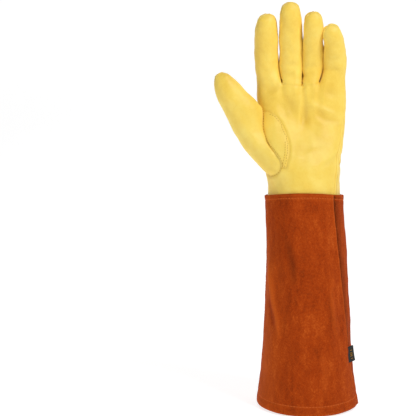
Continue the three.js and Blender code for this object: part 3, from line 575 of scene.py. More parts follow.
# %% [markdown]
# ## The thumb
# The thumb is a tube of its own, set into a hole in the palm. Its seam runs round that hole. The rings
# between the seam and the first full section follow a curve that leaves the hand in the hand's own direction
# and arrives in the thumb's, which gives the swell over the ball of the thumb.

# %% Rings of the thumb
THUMB_LENGTH, THUMB_WIDTH, THUMB_DEPTH, THUMB_SPREAD = 118.5, 34, 29, math.radians(30.5)
THUMB_ROOT_RISE, THUMB_ROOT_INSET, THUMB_SWELL, THUMB_BALL, THUMB_LIP = 23.5, 7.7, 0.55, 4, 1.7
THUMB_POWER, THUMB_COLUMNS, THUMB_STEPS, LEAVE_FLAT = 2.1, 24, 8, 0.85
THUMB_SECTIONS = dict(
    along=[0.58, 0.67, 0.76, 0.84, 0.9, 0.95, 0.985],
    shift=[0.145, 0.13, 0.09, 0.08, 0.08, 0.08, 0.08],
    wide=[0.53, 0.485, 0.43, 0.385, 0.325, 0.25, 0.14],
    front=[0.34, 0.36, 0.39, 0.42, 0.45, 0.47, 0.49],
    deep=[0.5, 0.49, 0.46, 0.41, 0.34, 0.25, 0.14],
)
THUMB_SEAM = [(-63, 0.49), (-67, 0.57), (-61, 0.67), (-60, 0.75), (-70, 0.79), (-86, 0.76), (-99, 0.69),
              (-104, 0.6), (-101, 0.48), (-95, 0.37), (-85, 0.26), (-70, 0.185), (-52, 0.18), (-39, 0.215),
              (-36, 0.3), (-47, 0.395)]
thumb_root = np.array([CUFF_LEAN - WRIST_WIDTH / 2 + THUMB_ROOT_INSET, 0, CUFF_LENGTH + THUMB_ROOT_RISE])
thumb_axis = np.array([-math.sin(THUMB_SPREAD), 0, math.cos(THUMB_SPREAD)])
thumb_side = np.array([math.cos(THUMB_SPREAD), 0, math.sin(THUMB_SPREAD)])
seam_loop = smooth_line(THUMB_SEAM, 24, closed=True)
seam_places = seam_loop[[round(k * len(seam_loop) / THUMB_COLUMNS) for k in range(THUMB_COLUMNS)]]


def hand_normal(turn, up):
    across = hand_point(turn + 1, up) - hand_point(turn - 1, up)
    return unit(np.cross(across, hand_point(turn, up + 0.01) - hand_point(turn, up - 0.01)))


def thumb_centre(along, shift, front):
    p = thumb_root + thumb_axis * along * THUMB_LENGTH + thumb_side * shift * THUMB_WIDTH
    p[1] = -front * THUMB_DEPTH
    return p


def thumb_ring(along, shift, wide, front, deep):
    centre = thumb_centre(along, shift, front)
    across, back = section_axes(unit(thumb_centre(along + 0.05, shift, front + 0.02) - centre))
    ring = []
    for j in range(THUMB_COLUMNS):
        x, y = oval(2 * math.pi * j / THUMB_COLUMNS, wide * THUMB_WIDTH, deep * THUMB_DEPTH, THUMB_POWER)
        ring.append(centre + across * x + back * y)
    return np.array(ring)


root_width = 2 * THUMB_SECTIONS["wide"][0] * THUMB_WIDTH
print("the thumb's first full section is", round(root_width, 1), "mm wide")

# %% From the seam to the tip
full_rings = [thumb_ring(*row) for row in zip(*THUMB_SECTIONS.values())]
seam_ring = np.array([hand_point(turn, up) for turn, up in seam_places])
seam_normals = np.array([hand_normal(turn, up) for turn, up in seam_places])
second = [THUMB_SECTIONS[k][1] for k in ("along", "shift", "front")]
first = [THUMB_SECTIONS[k][0] for k in ("along", "shift", "front")]
leaving = unit(thumb_centre(*second) - thumb_centre(*first))


def blended(j, share):
    """A point between the seam and the first full ring. On the inner side the curve leaves along the palm."""
    start, end = seam_ring[j], full_rings[0][j]
    reach = end - start
    pull = THUMB_SWELL * np.linalg.norm(reach) / 1.5
    outer = max(0, -math.sin(2 * math.pi * j / THUMB_COLUMNS))
    heading = unit(reach - seam_normals[j] * LEAVE_FLAT * (1 - outer) * (reach @ seam_normals[j]))
    p, q = start + heading * pull, end - leaving * pull
    s = 1 - share
    curve = s**3 * start + 3 * s * s * share * p + 3 * s * share**2 * q + share**3 * end
    return curve - thumb_side * THUMB_BALL * outer * math.sin(math.pi * share)


BLENDS = (0.1, 0.25, 0.45, 0.7)
thumb_rings = [seam_ring] + [np.array([blended(j, t) for j in range(THUMB_COLUMNS)]) for t in BLENDS]
thumb_rings += full_rings
tip = thumb_centre(1, THUMB_SECTIONS["shift"][-1], THUMB_SECTIONS["front"][-1])
thumb_rings = smooth_line(np.array(thumb_rings + [np.tile(tip, (THUMB_COLUMNS, 1))]), THUMB_STEPS)
# The last stretch is rounded over the tip: a quarter of an oval instead of a cone
last = full_rings[-1]
for k in range(THUMB_STEPS + 1):
    angle = math.pi / 2 * k / THUMB_STEPS
    bulge = lerp(last.mean(0), tip, math.sin(angle))
    thumb_rings[len(thumb_rings) - 1 - THUMB_STEPS + k] = bulge + (last - last.mean(0)) * math.cos(angle)
thumb = smooth_line(np.swapaxes(thumb_rings, 0, 1), THUMB_STEPS, closed=True).swapaxes(0, 1)
print("the thumb's grid is", thumb.shape[:2])

# %% [markdown]
# ## Cutting the hole and the gusset
# The thumb's hole and the leaf-shaped gusset beside it are cut out of the hand's smooth skin. The faces whose
# middle lies inside the outline are picked, and then the jagged border between picked and unpicked faces is
# pulled onto the outline, which makes a clean line without any boolean.

# %% Pick faces inside an outline and pull the border onto it
GUSSET_EDGE = [  # across, as a share of the half width, and up
    (-0.86, 0.765), (-0.615, 0.735), (-0.487, 0.68), (-0.406, 0.62), (-0.35, 0.557), (-0.318, 0.483),
    (-0.33, 0.391), (-0.395, 0.315), (-0.5, 0.245), (-0.8, 0.33), (-0.97, 0.5), (-0.98, 0.7),
]
THUMB_HEADING = unit(np.array([-0.78, -0.62, 0.0]))
PALM_HEADING = np.array([0, -1.0, 0])
PUNCH_FACING = 0.15


def inside(flat, outline):
    """Even-odd test of flat points against a closed outline."""
    crossings = np.zeros(len(flat), int)
    for (x1, y1), (x2, y2) in zip(outline, np.roll(outline, -1, 0)):
        crosses = (flat[:, 1] > y1) != (flat[:, 1] > y2)
        at = (x2 - x1) * (flat[:, 1] - y1) / (y2 - y1 if y2 != y1 else 1e-9) + x1
        crossings += crosses & (flat[:, 0] < at)
    return crossings % 2 == 1


def seen_along(points, heading):
    side = unit(np.cross((0, 0, 1), heading))
    return np.stack([points @ side, points[:, 2]], 1)


def pick(points, quads, outline, heading):
    """The quads that lie inside an outline and face the heading."""
    a, b, c, d = (points[quads[:, k]] for k in range(4))
    middles, facing = (a + b + c + d) / 4, np.cross(c - a, d - b)
    facing = (facing @ heading) / np.maximum(np.linalg.norm(facing, axis=1), 1e-9)
    picked = inside(seen_along(middles, heading), seen_along(outline, heading))
    return picked & (facing > PUNCH_FACING)


def pull_border(points, quads, picked, outline):
    """Moves the points between picked and unpicked quads to the nearest places of the outline."""
    border = np.intersect1d(quads[picked], quads[~picked])
    starts, ends = outline, np.roll(outline, -1, 0)
    for v in border:
        along = ends - starts
        share = np.clip(((points[v] - starts) * along).sum(1) / np.maximum((along**2).sum(1), 1e-12), 0, 1)
        places = starts + along * share[:, None]
        points[v] = places[np.argmin(((places - points[v]) ** 2).sum(1))]


def onto_skin(places, tree, heading=None):
    """The nearest places of a skin, or the first ones met when coming from the heading's side."""
    out = []
    for p in places:
        hit = None
        if heading is not None:
            hit = tree.ray_cast(Vector(p) + Vector(heading) * 200, -Vector(heading))[0]
        out.append(tuple(hit or tree.find_nearest(Vector(p))[0]))
    return np.array(out)


def tree_of(points, quads):
    return BVHTree.FromPolygons(points.tolist(), quads.tolist())


print("the gusset's outline has", len(GUSSET_EDGE), "corners, rounded off")

# %% Cut the thumb's hole and mark the gusset
skin_tree = tree_of(skin, skin_quads)
thumb_outline = onto_skin([hand_point(turn, up) for turn, up in seam_loop], skin_tree)
hole = pick(skin, skin_quads, thumb_outline, THUMB_HEADING)
pull_border(skin, skin_quads, hole, thumb_outline)
skin_quads, skin_panels = skin_quads[~hole], skin_panels[~hole]

leaf = []
for across, up in smooth_line(GUSSET_EDGE, 16, closed=True):
    s = hand_section(up)
    leaf.append((s["centre"] + across * s["half_width"], 0, CUFF_LENGTH + up * PALM_LENGTH))
leaf = onto_skin(leaf, skin_tree, PALM_HEADING)
in_leaf = pick(skin, skin_quads, leaf, PALM_HEADING) & (skin_panels == PALM)
pull_border(skin, skin_quads, in_leaf, leaf)
skin_panels[in_leaf] = PANELS.index("thumb_gusset")
print("faces cut out for the thumb:", hole.sum(), "and for the gusset:", in_leaf.sum())

# %% [markdown]
# ## Seams pull the leather in
# Two panels sewn right sides together and turned leave a narrow valley, with the leather rolling into it from
# both sides. That is a displacement that depends only on the distance to the nearest border of the panel, so
# it needs no modelling by hand. The distance is also kept on the mesh, where the leather's material reads it
# to paint a little shade into the valley, with a little dirt.

# %% Valleys along every border
VALLEY_DEPTH, VALLEY_HALF, SEAM_REACH = 1.15, 1.25, 9.0
ROLL_HEIGHT, ROLL_AWAY, ROLL_HALF = 0.3, 3.2, 1.7
# How strongly a border shows: the flat seam below the middle fingers and the gusset's edge are pressed open
FINGER_VALLEY, FLAT_VALLEY, LEAF_VALLEY, FINGER_FILL = 0.55, 0.3, 0.6, 0.45


def border_points(quads, panels, panel):
    """Points of one panel's edge: shared with another panel, or on a cut edge."""
    mine = quads[panels == panel]
    edges = np.concatenate([mine[:, [k, (k + 1) % 4]] for k in range(4)])
    key = np.sort(edges, 1)
    _, index, uses = np.unique(key, axis=0, return_index=True, return_counts=True)
    return np.unique(key[index[uses == 1]])


normals = point_normals(skin, skin_quads)
seam_away, seam_weight = np.full(len(skin), SEAM_REACH), np.ones(len(skin))
HIDDEN_EDGE = CUFF_LENGTH - TUCK + 1
on_finger = smoothstep(skin[:, 2], CUFF_LENGTH + PALM_LENGTH + 4, CUFF_LENGTH + PALM_LENGTH + 14)
touching = np.zeros((len(PANELS), len(skin)), bool)
for panel in range(len(PANELS)):
    touching[panel, skin_quads[skin_panels == panel]] = True
weight = 1 - (1 - FINGER_VALLEY) * on_finger
front_bases = (touching[PANELS.index("middle_front")] | touching[PANELS.index("ring_front")]) & touching[PALM]
weight[front_bases] = FLAT_VALLEY
weight[touching[PANELS.index("thumb_gusset")]] = LEAF_VALLEY
for panel in range(len(PANELS)):
    mine = np.unique(skin_quads[skin_panels == panel])
    edge = border_points(skin_quads, skin_panels, panel)
    edge = edge[skin[edge, 2] > HIDDEN_EDGE]
    away, nearest = distance_to(skin[mine], skin[edge], SEAM_REACH)
    closer = away < seam_away[mine]
    seam_away[mine] = np.minimum(seam_away[mine], away)
    seam_weight[mine[closer]] = weight[edge[nearest[closer]]]


def rolled(away):
    """The height of the leather beside a seam: a valley, and a low roll next to it."""
    return ROLL_HEIGHT * bell(away - ROLL_AWAY, ROLL_HALF) - VALLEY_DEPTH * bell(away, VALLEY_HALF)


skin_inside = skin.copy()
skin += normals * (rolled(seam_away) * seam_weight + FINGER_FILL * on_finger)[:, None]
skin_tree = tree_of(skin, skin_quads)
print("points within 1 mm of a seam:", int((seam_away < 1).sum()))

# %% The thumb's seam sits in the same valley, and its edge turns in
def grid_quads(rows, columns, closed=True):
    """The quads of a grid of points, whose columns may close to a tube."""
    r, c = np.meshgrid(np.arange(rows - 1), np.arange(columns if closed else columns - 1), indexing="ij")
    low, high, n = r * columns, (r + 1) * columns, (c + 1) % columns
    return np.stack([low + c, low + n, high + n, high + c], -1).reshape(-1, 4)


def grid_normals(grid, closed=True):
    return point_normals(grid.reshape(-1, 3), grid_quads(*grid.shape[:2], closed)).reshape(grid.shape)


PULLED_RINGS, THUMB_VALLEY, THUMB_FILL = 2.2, 0.4, 0.5
seam_row = onto_skin(thumb[0], skin_tree)
rows = np.arange(len(thumb))[:, None, None]
thumb += (seam_row - thumb[0]) * (1 - smoothstep(rows / (PULLED_RINGS * THUMB_STEPS), 0, 1))
thumb_normals = grid_normals(thumb)
flat_thumb, flat_normals = thumb.reshape(-1, 3), thumb_normals.reshape(-1, 3)
THUMB_CREASES = [
    (0, 3.5, 0.7, [(-86, 316), (-80, 312), (-74, 309)]),
    (0, 4, 0.5, [(-70, 291), (-63, 289), (-57, 291)]),
    (0, 5, -0.6, [(-74, 300), (-62, 285), (-52, 270)]),
    (227, 3, 0.6, [(34, 308), (40, 304), (47, 303)]),
    (227, 4, 0.5, [(44, 285), (50, 280), (54, 276)]),
    (280, 3, 0.6, [(-8, 300), (0, 298), (8, 301)]),
]
THUMB_RIPPLES = [(0.3, 24, 21), (0.1, 9, 22)]  # height, size, seed
bump = creased(flat_thumb, flat_normals, THUMB_CREASES) + rippled(flat_thumb, THUMB_RIPPLES)
from_seam = np.linalg.norm(thumb - thumb[:1], axis=2).ravel()
bump *= smoothstep(from_seam, 0, 5)
# The seam that closes the thumb runs up the side that faces the index finger
SEAM_COLUMN, SEAM_END = int(8.6 * THUMB_STEPS), 0.9
seam_share = np.arange(len(thumb)) / (len(thumb) - 1)
side_seam = thumb[seam_share < SEAM_END, SEAM_COLUMN]
side_away = distance_to(flat_thumb, side_seam, SEAM_REACH)[0]
thumb_away = np.minimum(side_away, from_seam)
bump += (rolled(side_away) * THUMB_VALLEY + THUMB_FILL) * smoothstep(from_seam, 0, 6)
thumb = (flat_thumb + flat_normals * bump[:, None]).reshape(thumb.shape)
lip_normals = smooth_line(seam_normals, THUMB_STEPS, closed=True)
lip = np.stack([seam_row - lip_normals * THUMB_LIP * k / 2 for k in (2, 1)])
thumb = np.concatenate([lip, thumb])
thumb_away = np.concatenate([np.zeros(2 * thumb.shape[1]), thumb_away])
print("the thumb is", np.ptp(thumb[..., 2]).round(1), "mm tall")

# %% [markdown]
# ## The cuff
# The cuff is a flared tube of split suede in two panels, sewn together along both sides and hemmed at its
# mouth and at the wrist by folding the suede inwards. A grid in angle and height is enough here. The folded
# hems come from running each column of the grid over the fold and back down the inside.

# %% Sections of the cuff, softened between their rows
MOUTH_WIDTH, MOUTH_DEPTH, HEM_HEIGHT, TOP_HEM_HEIGHT = 106, 132, 11, 9
SEAM_GAP, CUFF_POWER, THUMB_SIDE_SEAM = 0.3, 2.1, -112
CUFF_SECTIONS = dict(
    up=[0, 0.05, 0.13, 0.25, 0.38, 0.52, 0.66, 0.8, 0.92, 1],
    flare=[1, 0.88, 0.68, 0.45, 0.27, 0.15, 0.05, 0, 0, 0],
    depth=[1, 0.95, 0.86, 0.74, 0.6, 0.45, 0.31, 0.17, 0.06, 0],
    lean=[0, 0.1, 0.2, 0.3, 0.3, 0.35, 0.5, 0.75, 0.95, 1],
    seam=[82, 80, 74, 67.5, 65, 61.5, 57.5, 54, 50.5, 49.5],
)
CUFF_FOLDS = [  # top, bottom, from, to, half, depth
    (-62, -38, 0.1, 0.8, 13, 1.8), (20, 42, 0.05, 0.7, 12, 1.3),
    (150, 172, 0.1, 0.85, 14, 1.5), (-160, -140, 0.05, 0.7, 13, 1.6),
    (-48, -22, 0.02, 0.9, 6, -0.8), (5, 24, 0.0, 0.5, 7, -0.6), (-20, -6, 0.3, 1.1, 8, 0.6),
    (48, 66, 0.0, 0.6, 6, 0.6), (200, 186, 0.0, 0.8, 8, -0.8), (120, 112, 0.2, 1.1, 9, 0.8),
    (222, 230, 0.1, 1.0, 7, 0.7), (92, 92, 0.0, 1.25, 32, 1.9), (-90, -90, 0.45, 1.25, 32, -1.1),
    (-90, -90, -0.12, 0.14, 42, 1.3),
]
CUFF_CREASES = [  # view, half width, depth (negative for a ridge), places across and up that view
    (0, 2.1, -1.3, [(-41, 154), (-39.5, 138), (-36.8, 118), (-32, 91), (-29.5, 74)]),
    (0, 3.2, 1.3, [(-43.5, 122), (-40.5, 104), (-37, 84)]),
    (0, 2.4, -0.7, [(26, 136), (24, 118), (26, 96), (30, 74)]),
    (0, 4.0, 0.7, [(-22, 176), (-16, 150), (-14, 128)]),
    (0, 3.0, -0.6, [(14, 60), (18, 40), (17, 20)]),
    (227, 3.0, 0.9, [(-24, 180), (-30, 150), (-32, 122)]),
    (227, 2.6, -0.8, [(22, 150), (28, 118), (30, 84)]),
    (180, 3.4, 0.9, [(-20, 150), (-12, 120), (-14, 90)]),
]
# The cuff's doubled top passes round the hand's wrist with a hair of air
TOP_CLEARANCE = 2 * (2 * SUEDE + SEAM_GAP + 0.1)
TOP_WIDTH, TOP_DEPTH = WRIST_WIDTH + TOP_CLEARANCE, WRIST_DEPTH + TOP_CLEARANCE


def softened(up, column):
    """The table's column at some heights, with the corners between its rows rounded off."""
    heights, values = (np.array(CUFF_SECTIONS[key], float) for key in ("up", column))
    total = np.zeros_like(up)
    for shift in np.linspace(-0.06, 0.06, 9):
        place = up + shift
        inner = np.interp(place, heights, values)
        below = values[0] + (place - heights[0]) * (values[1] - values[0]) / (heights[1] - heights[0])
        above = values[-1] + (place - heights[-1]) * (values[-1] - values[-2]) / (heights[-1] - heights[-2])
        total += np.where(place < 0, below, np.where(place > 1, above, inner))
    return total / 9


def cuff_surface(turn, up):
    """Points of the cuff's outside, for arrays of angles in degrees and shares of its height."""
    angle = np.radians(turn)
    half_width = lerp(TOP_WIDTH, MOUTH_WIDTH, softened(up, "flare")) / 2
    half_depth = lerp(TOP_DEPTH, MOUTH_DEPTH, softened(up, "depth")) / 2
    x = half_width * np.sign(np.sin(angle)) * np.abs(np.sin(angle)) ** (2 / CUFF_POWER)
    y = -half_depth * np.sign(np.cos(angle)) * np.abs(np.cos(angle)) ** (2 / CUFF_POWER)
    swell = np.zeros_like(x)
    for top, bottom, start, end, half, depth in CUFF_FOLDS:
        share = np.clip((up - start) / (end - start), 0, 1)
        away = ((turn - lerp(bottom, top, share) + 540) % 360 - 180) / half
        swell += depth * bell(away, 1) * np.sin(math.pi * share)
    grow = 1 + swell / np.hypot(x, y)
    return np.stack([x * grow + softened(up, "lean") * CUFF_LEAN, y * grow, up * CUFF_LENGTH], -1)


girth = np.ptp(cuff_surface(np.arange(360.0), np.zeros(360)), axis=0)
print("the mouth is", girth[0].round(1), "by", girth[1].round(1), "mm")


# %% How the suede lies above the plain tube, and how dark or pale its colour is made, with painted shade and light
HEM_LINE, TOP_LINE = 8.2, CUFF_LENGTH - 4.2
CUFF_RIPPLES = [(0.45, 34, 31), (0.16, 11, 32)]  # height, size, seed
PAINTED_LIGHT_TURN, PAINTED_LIGHT_HALF, SHADE_HALF = -62, 25, 0.95


def cuff_turns(panel, share, up):
    seam = softened(up, "seam")
    if panel == 0:
        return lerp(THUMB_SIDE_SEAM, seam, share)
    return lerp(seam, THUMB_SIDE_SEAM + 360, share)


def seam_shade_and_dirt(away):
    """Painted shade in a seam's groove, with a little dirt: 1 on its line, fading beside it."""
    return bell(away, SHADE_HALF)


def cuff_relief(panel, grid, out, turns):
    """Height above the plain tube, and a shade for the colour: positive where painted darker, negative where
    painted paler.
    """
    z, flat = grid[..., 2], grid.reshape(-1, 3)
    sides = [np.linalg.norm(grid - grid[:, [column]], axis=2) for column in (0, -1)]
    away, outer_side = np.minimum(*sides), sides[0 if panel else 1]
    folds = creased(flat, out.reshape(-1, 3), CUFF_CREASES).reshape(z.shape)
    lift = rippled(flat, CUFF_RIPPLES).reshape(z.shape) + folds
    lift *= 0.4 + 0.6 * smoothstep(z, 0, 30) * smoothstep(CUFF_LENGTH - z, 0, 20)
    below_rim = smoothstep(CUFF_LENGTH - z, 0, 26)
    lift += 0.5 * bell(away - 3.6, 1.8) - 1.5 * (0.45 + 0.55 * below_rim) * bell(away, 1.5)
    lift -= 0.5 * bell(z - HEM_LINE, 1.2) + 0.4 * bell(z - TOP_LINE, 1.1)
    lift += 0.35 * smoothstep(HEM_LINE - z, 0, 3) + 0.25 * smoothstep(z - TOP_LINE, 0, 2)
    # Painted shade in the seams' grooves, with a little dirt
    shade = seam_shade_and_dirt(away / 1.3)
    if panel:
        # The back panel lies lower beside the outer seam, in the shade of the front panel's edge
        lift -= 1.3 * (0.4 + 0.6 * below_rim) * bell(outer_side, 7)
        shade += 0.7 * bell(outer_side, 9, power=4) + 0.6 * bell(outer_side, 2.2)
    else:
        # The front panel's edge rises a little beside the outer seam, with a painted highlight along it
        lift += 0.6 * bell(outer_side - 2.5, 1.8)
        shade -= 0.8 * bell(outer_side - 3, 1.1)
    # The suede is paler along the hems' stitched lines and at both rims
    shade -= 0.9 * bell(z - HEM_LINE, 0.9) + 0.8 * bell(z - TOP_LINE, 0.9)
    shade -= 0.5 * bell(z - CUFF_LENGTH, 1.5) + 0.5 * bell(z, 1.5)
    # Painted light on the thumb's side of the front, painted highlight on the folds' crests and painted shade
    # in their hollows
    from_painted_light = (turns - PAINTED_LIGHT_TURN + 540) % 360 - 180
    shade -= 0.7 * bell(from_painted_light, PAINTED_LIGHT_HALF) * (1 - smoothstep(z, 130, 200)) + folds
    return lift, shade


print("halfway up, the front panel starts at", cuff_turns(0, 0, 0.5), "degrees")


# %% One closed shell for each of the two panels
CUFF_COLUMNS, CUFF_ROWS, FOLD_STEPS = 120, 180, 5
HEM_STEP, HEM_FOLDED, FOLD_ROUND = 1.2, 0.95, 0.8
HEM_DIP, TOP_RISE, TOP_SINK = 2.7, 3.1, 1.4


def cuff_wall(z):
    """The wall's thickness, which is doubled by the folded suede inside the two hems."""
    top_hem = CUFF_LENGTH - TOP_HEM_HEIGHT
    folded = np.maximum(1 - smoothstep(z, HEM_HEIGHT, HEM_HEIGHT + HEM_STEP),
                        smoothstep(z, top_hem - HEM_STEP, top_hem))
    return SUEDE * (1 + HEM_FOLDED * folded)


def folded_over(start, end, sign):
    """Rows that carry the suede round a fold, up or down by the sign."""
    middle, half = (start + end) / 2, (start - end) / 2
    height = sign * FOLD_ROUND * np.linalg.norm(half, axis=1).mean()
    angles = [math.pi * k / FOLD_STEPS for k in range(1, FOLD_STEPS)]
    return [middle + half * math.cos(a) + np.array([0, 0, height * math.sin(a)]) for a in angles]


def cut_edges(columns):
    """The cut edges along the two seams: outside joined to inside, row by row."""
    front_rows = np.arange(CUFF_ROWS + 1)
    back_rows = CUFF_ROWS + FOLD_STEPS + front_rows[::-1]
    ends = []
    for column, order in ((0, 1), (columns - 1, -1)):
        a, b = front_rows[:-1] * columns + column, front_rows[1:] * columns + column
        c, d = back_rows[1:] * columns + column, back_rows[:-1] * columns + column
        ends.append(np.stack([a, b, c, d], 1)[:, ::order])
    return np.concatenate(ends)


def cuff_shell(panel):
    """Points, quads and shade of a closed panel, and the grid of its outside."""
    share = np.linspace(0, 1, CUFF_COLUMNS + 1)[None, :]
    up = np.linspace(0, 1, CUFF_ROWS + 1)[:, None] + 0 * share
    turns = cuff_turns(panel, share, up)
    plain = cuff_surface(turns, up)
    z, out = plain[..., 2], grid_normals(plain, closed=False)
    lift, shade = cuff_relief(panel, plain, out, turns)
    grid = plain + out * lift[..., None]
    # Near the rims the wall is measured level, so that the folds come out even
    level = out.copy()
    level[..., 2] *= smoothstep(z, 0, 20) * smoothstep(CUFF_LENGTH - z, 0, 20)
    level /= np.linalg.norm(level, axis=2, keepdims=True)
    inner = grid - level * cuff_wall(z)[..., None]
    # The top edge rises in front and sinks behind, and the hem dips in front and at the back
    facing = np.cos(np.radians(turns))
    rise = smoothstep(z, CUFF_LENGTH - 40, CUFF_LENGTH) * (TOP_RISE * np.maximum(facing, 0) ** 2 - TOP_SINK)
    rise -= HEM_DIP * np.abs(facing) ** 1.3 * (1 - smoothstep(z, 0, 70))
    grid[..., 2] += rise
    inner[..., 2] += rise
    over_top = folded_over(grid[-1], inner[-1], 1)
    over_hem = folded_over(inner[0], grid[0], -1)
    shell = np.array([*grid, *over_top, *inner[::-1], *over_hem])
    count, columns = shell.shape[:2]
    quads = grid_quads(count + 1, columns, closed=False) % (count * columns)
    shade_all = np.zeros((count, columns))
    shade_all[: len(grid)] = shade
    return shell.reshape(-1, 3), np.concatenate([quads, cut_edges(columns)]), shade_all.ravel(), grid


cuffs = {name: cuff_shell(panel) for panel, name in enumerate(("cuff_front", "cuff_back"))}
print("each cuff panel has", len(cuffs["cuff_front"][1]), "faces")

# %% [markdown]
# ## Materials as sums of patterns
# The grain of leather and the nap of suede are far too fine to model, so they are patterns in the material. A
# pattern is easiest to read as a sum, so one small class wraps a socket and lets it be added and multiplied.
# What varies goes only into colour, roughness and bump, which any export can bake into pictures.

# %% A socket that can be written in sums
class Wire:
    def __init__(self, tree, socket):
        self.tree, self.socket = tree, socket

    def math(self, operation, *others):
        return node(self.tree, "ShaderNodeMath", {"operation": operation}, [self, *others])

    def __add__(self, other):
        return self.math("ADD", other)

    def __sub__(self, other):
        return self.math("SUBTRACT", other)

    def __rsub__(self, other):
        return node(self.tree, "ShaderNodeMath", {"operation": "SUBTRACT"}, [other, self])

    def __mul__(self, other):
        return self.math("MULTIPLY", other)

    __radd__, __rmul__ = __add__, __mul__


def node(tree, kind, settings=None, inputs=(), output=0):
    """Adds a node: its settings first, then the values or links of its sockets, by number or by name."""
    made = tree.nodes.new(kind)
    for key, value in (settings or {}).items():
        if key == "stops":
            ramp = made.color_ramp
            for k, (place, colour) in enumerate(value):
                stop = ramp.elements[k] if k < 2 else ramp.elements.new(place)
                stop.position, stop.color = place, (*colour, 1)
        else:
            setattr(made, key, value)
    pairs = inputs.items() if isinstance(inputs, dict) else enumerate(inputs)
    for key, value in pairs:
        if isinstance(value, Wire):
            tree.links.new(value.socket, made.inputs[key])
        else:
            made.inputs[key].default_value = value
    return Wire(tree, made.outputs[output])


def mixed(tree, factor, first, second):
    """Mixes two colours, each a wire or three numbers."""
    made = tree.nodes.new("ShaderNodeMix")
    made.data_type = "RGBA"
    for socket, value in ((made.inputs[0], factor), (made.inputs[6], first), (made.inputs[7], second)):
        if isinstance(value, Wire):
            tree.links.new(value.socket, socket)
        else:
            socket.default_value = value if isinstance(value, (int, float)) else (*value, 1)
    return Wire(tree, made.outputs[2])


def linear(*colour):
    """A colour picked on a screen, as the linear numbers that a shader wants."""
    return tuple(c / 255 / 12.92 if c <= 10 else ((c / 255 + 0.055) / 1.055) ** 2.4 for c in colour)


def start_material(name):
    material = bpy.data.materials.new(name)
    material.use_nodes = True
    tree = material.node_tree
    shader = next(n for n in tree.nodes if n.type == "BSDF_PRINCIPLED")
    place = node(tree, "ShaderNodeTexCoord", output=3)
    return material, tree, shader, place


def noise(tree, place, scale, detail=3, roughness=0.5, stretch=None):
    if stretch:
        place = node(tree, "ShaderNodeMapping", None, {0: place, 3: stretch})
    return node(tree, "ShaderNodeTexNoise", None,
                {"Vector": place, "Scale": scale, "Detail": detail, "Roughness": roughness})


print("a screen grey of 128 is", round(linear(128)[0], 3), "for a shader")


# %% Grain leather: lemon gold, fine pebbles, softly mottled, with painted shade in the valleys and creases
def grain_leather():
    material, tree, shader, place = start_material("grain_leather")
    broad, medium, fine = noise(tree, place, 22), noise(tree, place, 90), noise(tree, place, 420, 4)
    seam = node(tree, "ShaderNodeAttribute", {"attribute_name": "seam"}, output=2)
    pebbles = node(tree, "ShaderNodeTexVoronoi", {"feature": "SMOOTH_F1"},
                   {"Vector": place, "Scale": 1150, "Smoothness": 0.4})
    wrinkles = noise(tree, place, 240, 3, 0.6, (1, 1, 0.45))
    mottle = broad * 0.55 + medium * 0.3 + fine * 0.15
    colour = node(tree, "ShaderNodeValToRGB", {"stops": [
        (0.3, linear(236, 192, 62)), (0.5, linear(246, 209, 84)), (0.72, linear(252, 224, 112))]}, [mottle])
    # The seam attribute paints shade into the seams' grooves, with a little dirt, and into the creases'
    # hollows; where it is negative, a painted highlight on ridges
    colour = mixed(tree, seam * 0.4, colour, linear(196, 152, 38))
    colour = mixed(tree, seam * -0.3, colour, linear(255, 230, 124))
    colour = mixed(tree, pebbles * 0.16, colour, linear(255, 232, 132))
    tree.links.new(colour.socket, shader.inputs["Base Color"])
    rough = 0.5 + (medium - 0.5) * 0.16 + (pebbles - 0.4) * 0.1
    tree.links.new(rough.socket, shader.inputs["Roughness"])
    height = pebbles * 0.55 + wrinkles * 0.8 + fine * 0.25
    bump = node(tree, "ShaderNodeBump", None, {"Strength": 0.6, "Distance": 0.00035, "Height": height})
    tree.links.new(bump.socket, shader.inputs["Normal"])
    shader.inputs["Specular IOR Level"].default_value = 0.38
    shader.inputs["Sheen Weight"].default_value = 0.12
    shader.inputs["Sheen Roughness"].default_value = 0.5
    return material


MATERIALS = {"leather": grain_leather()}
print("the leather is a sum of", len(MATERIALS["leather"].node_tree.nodes), "nodes")


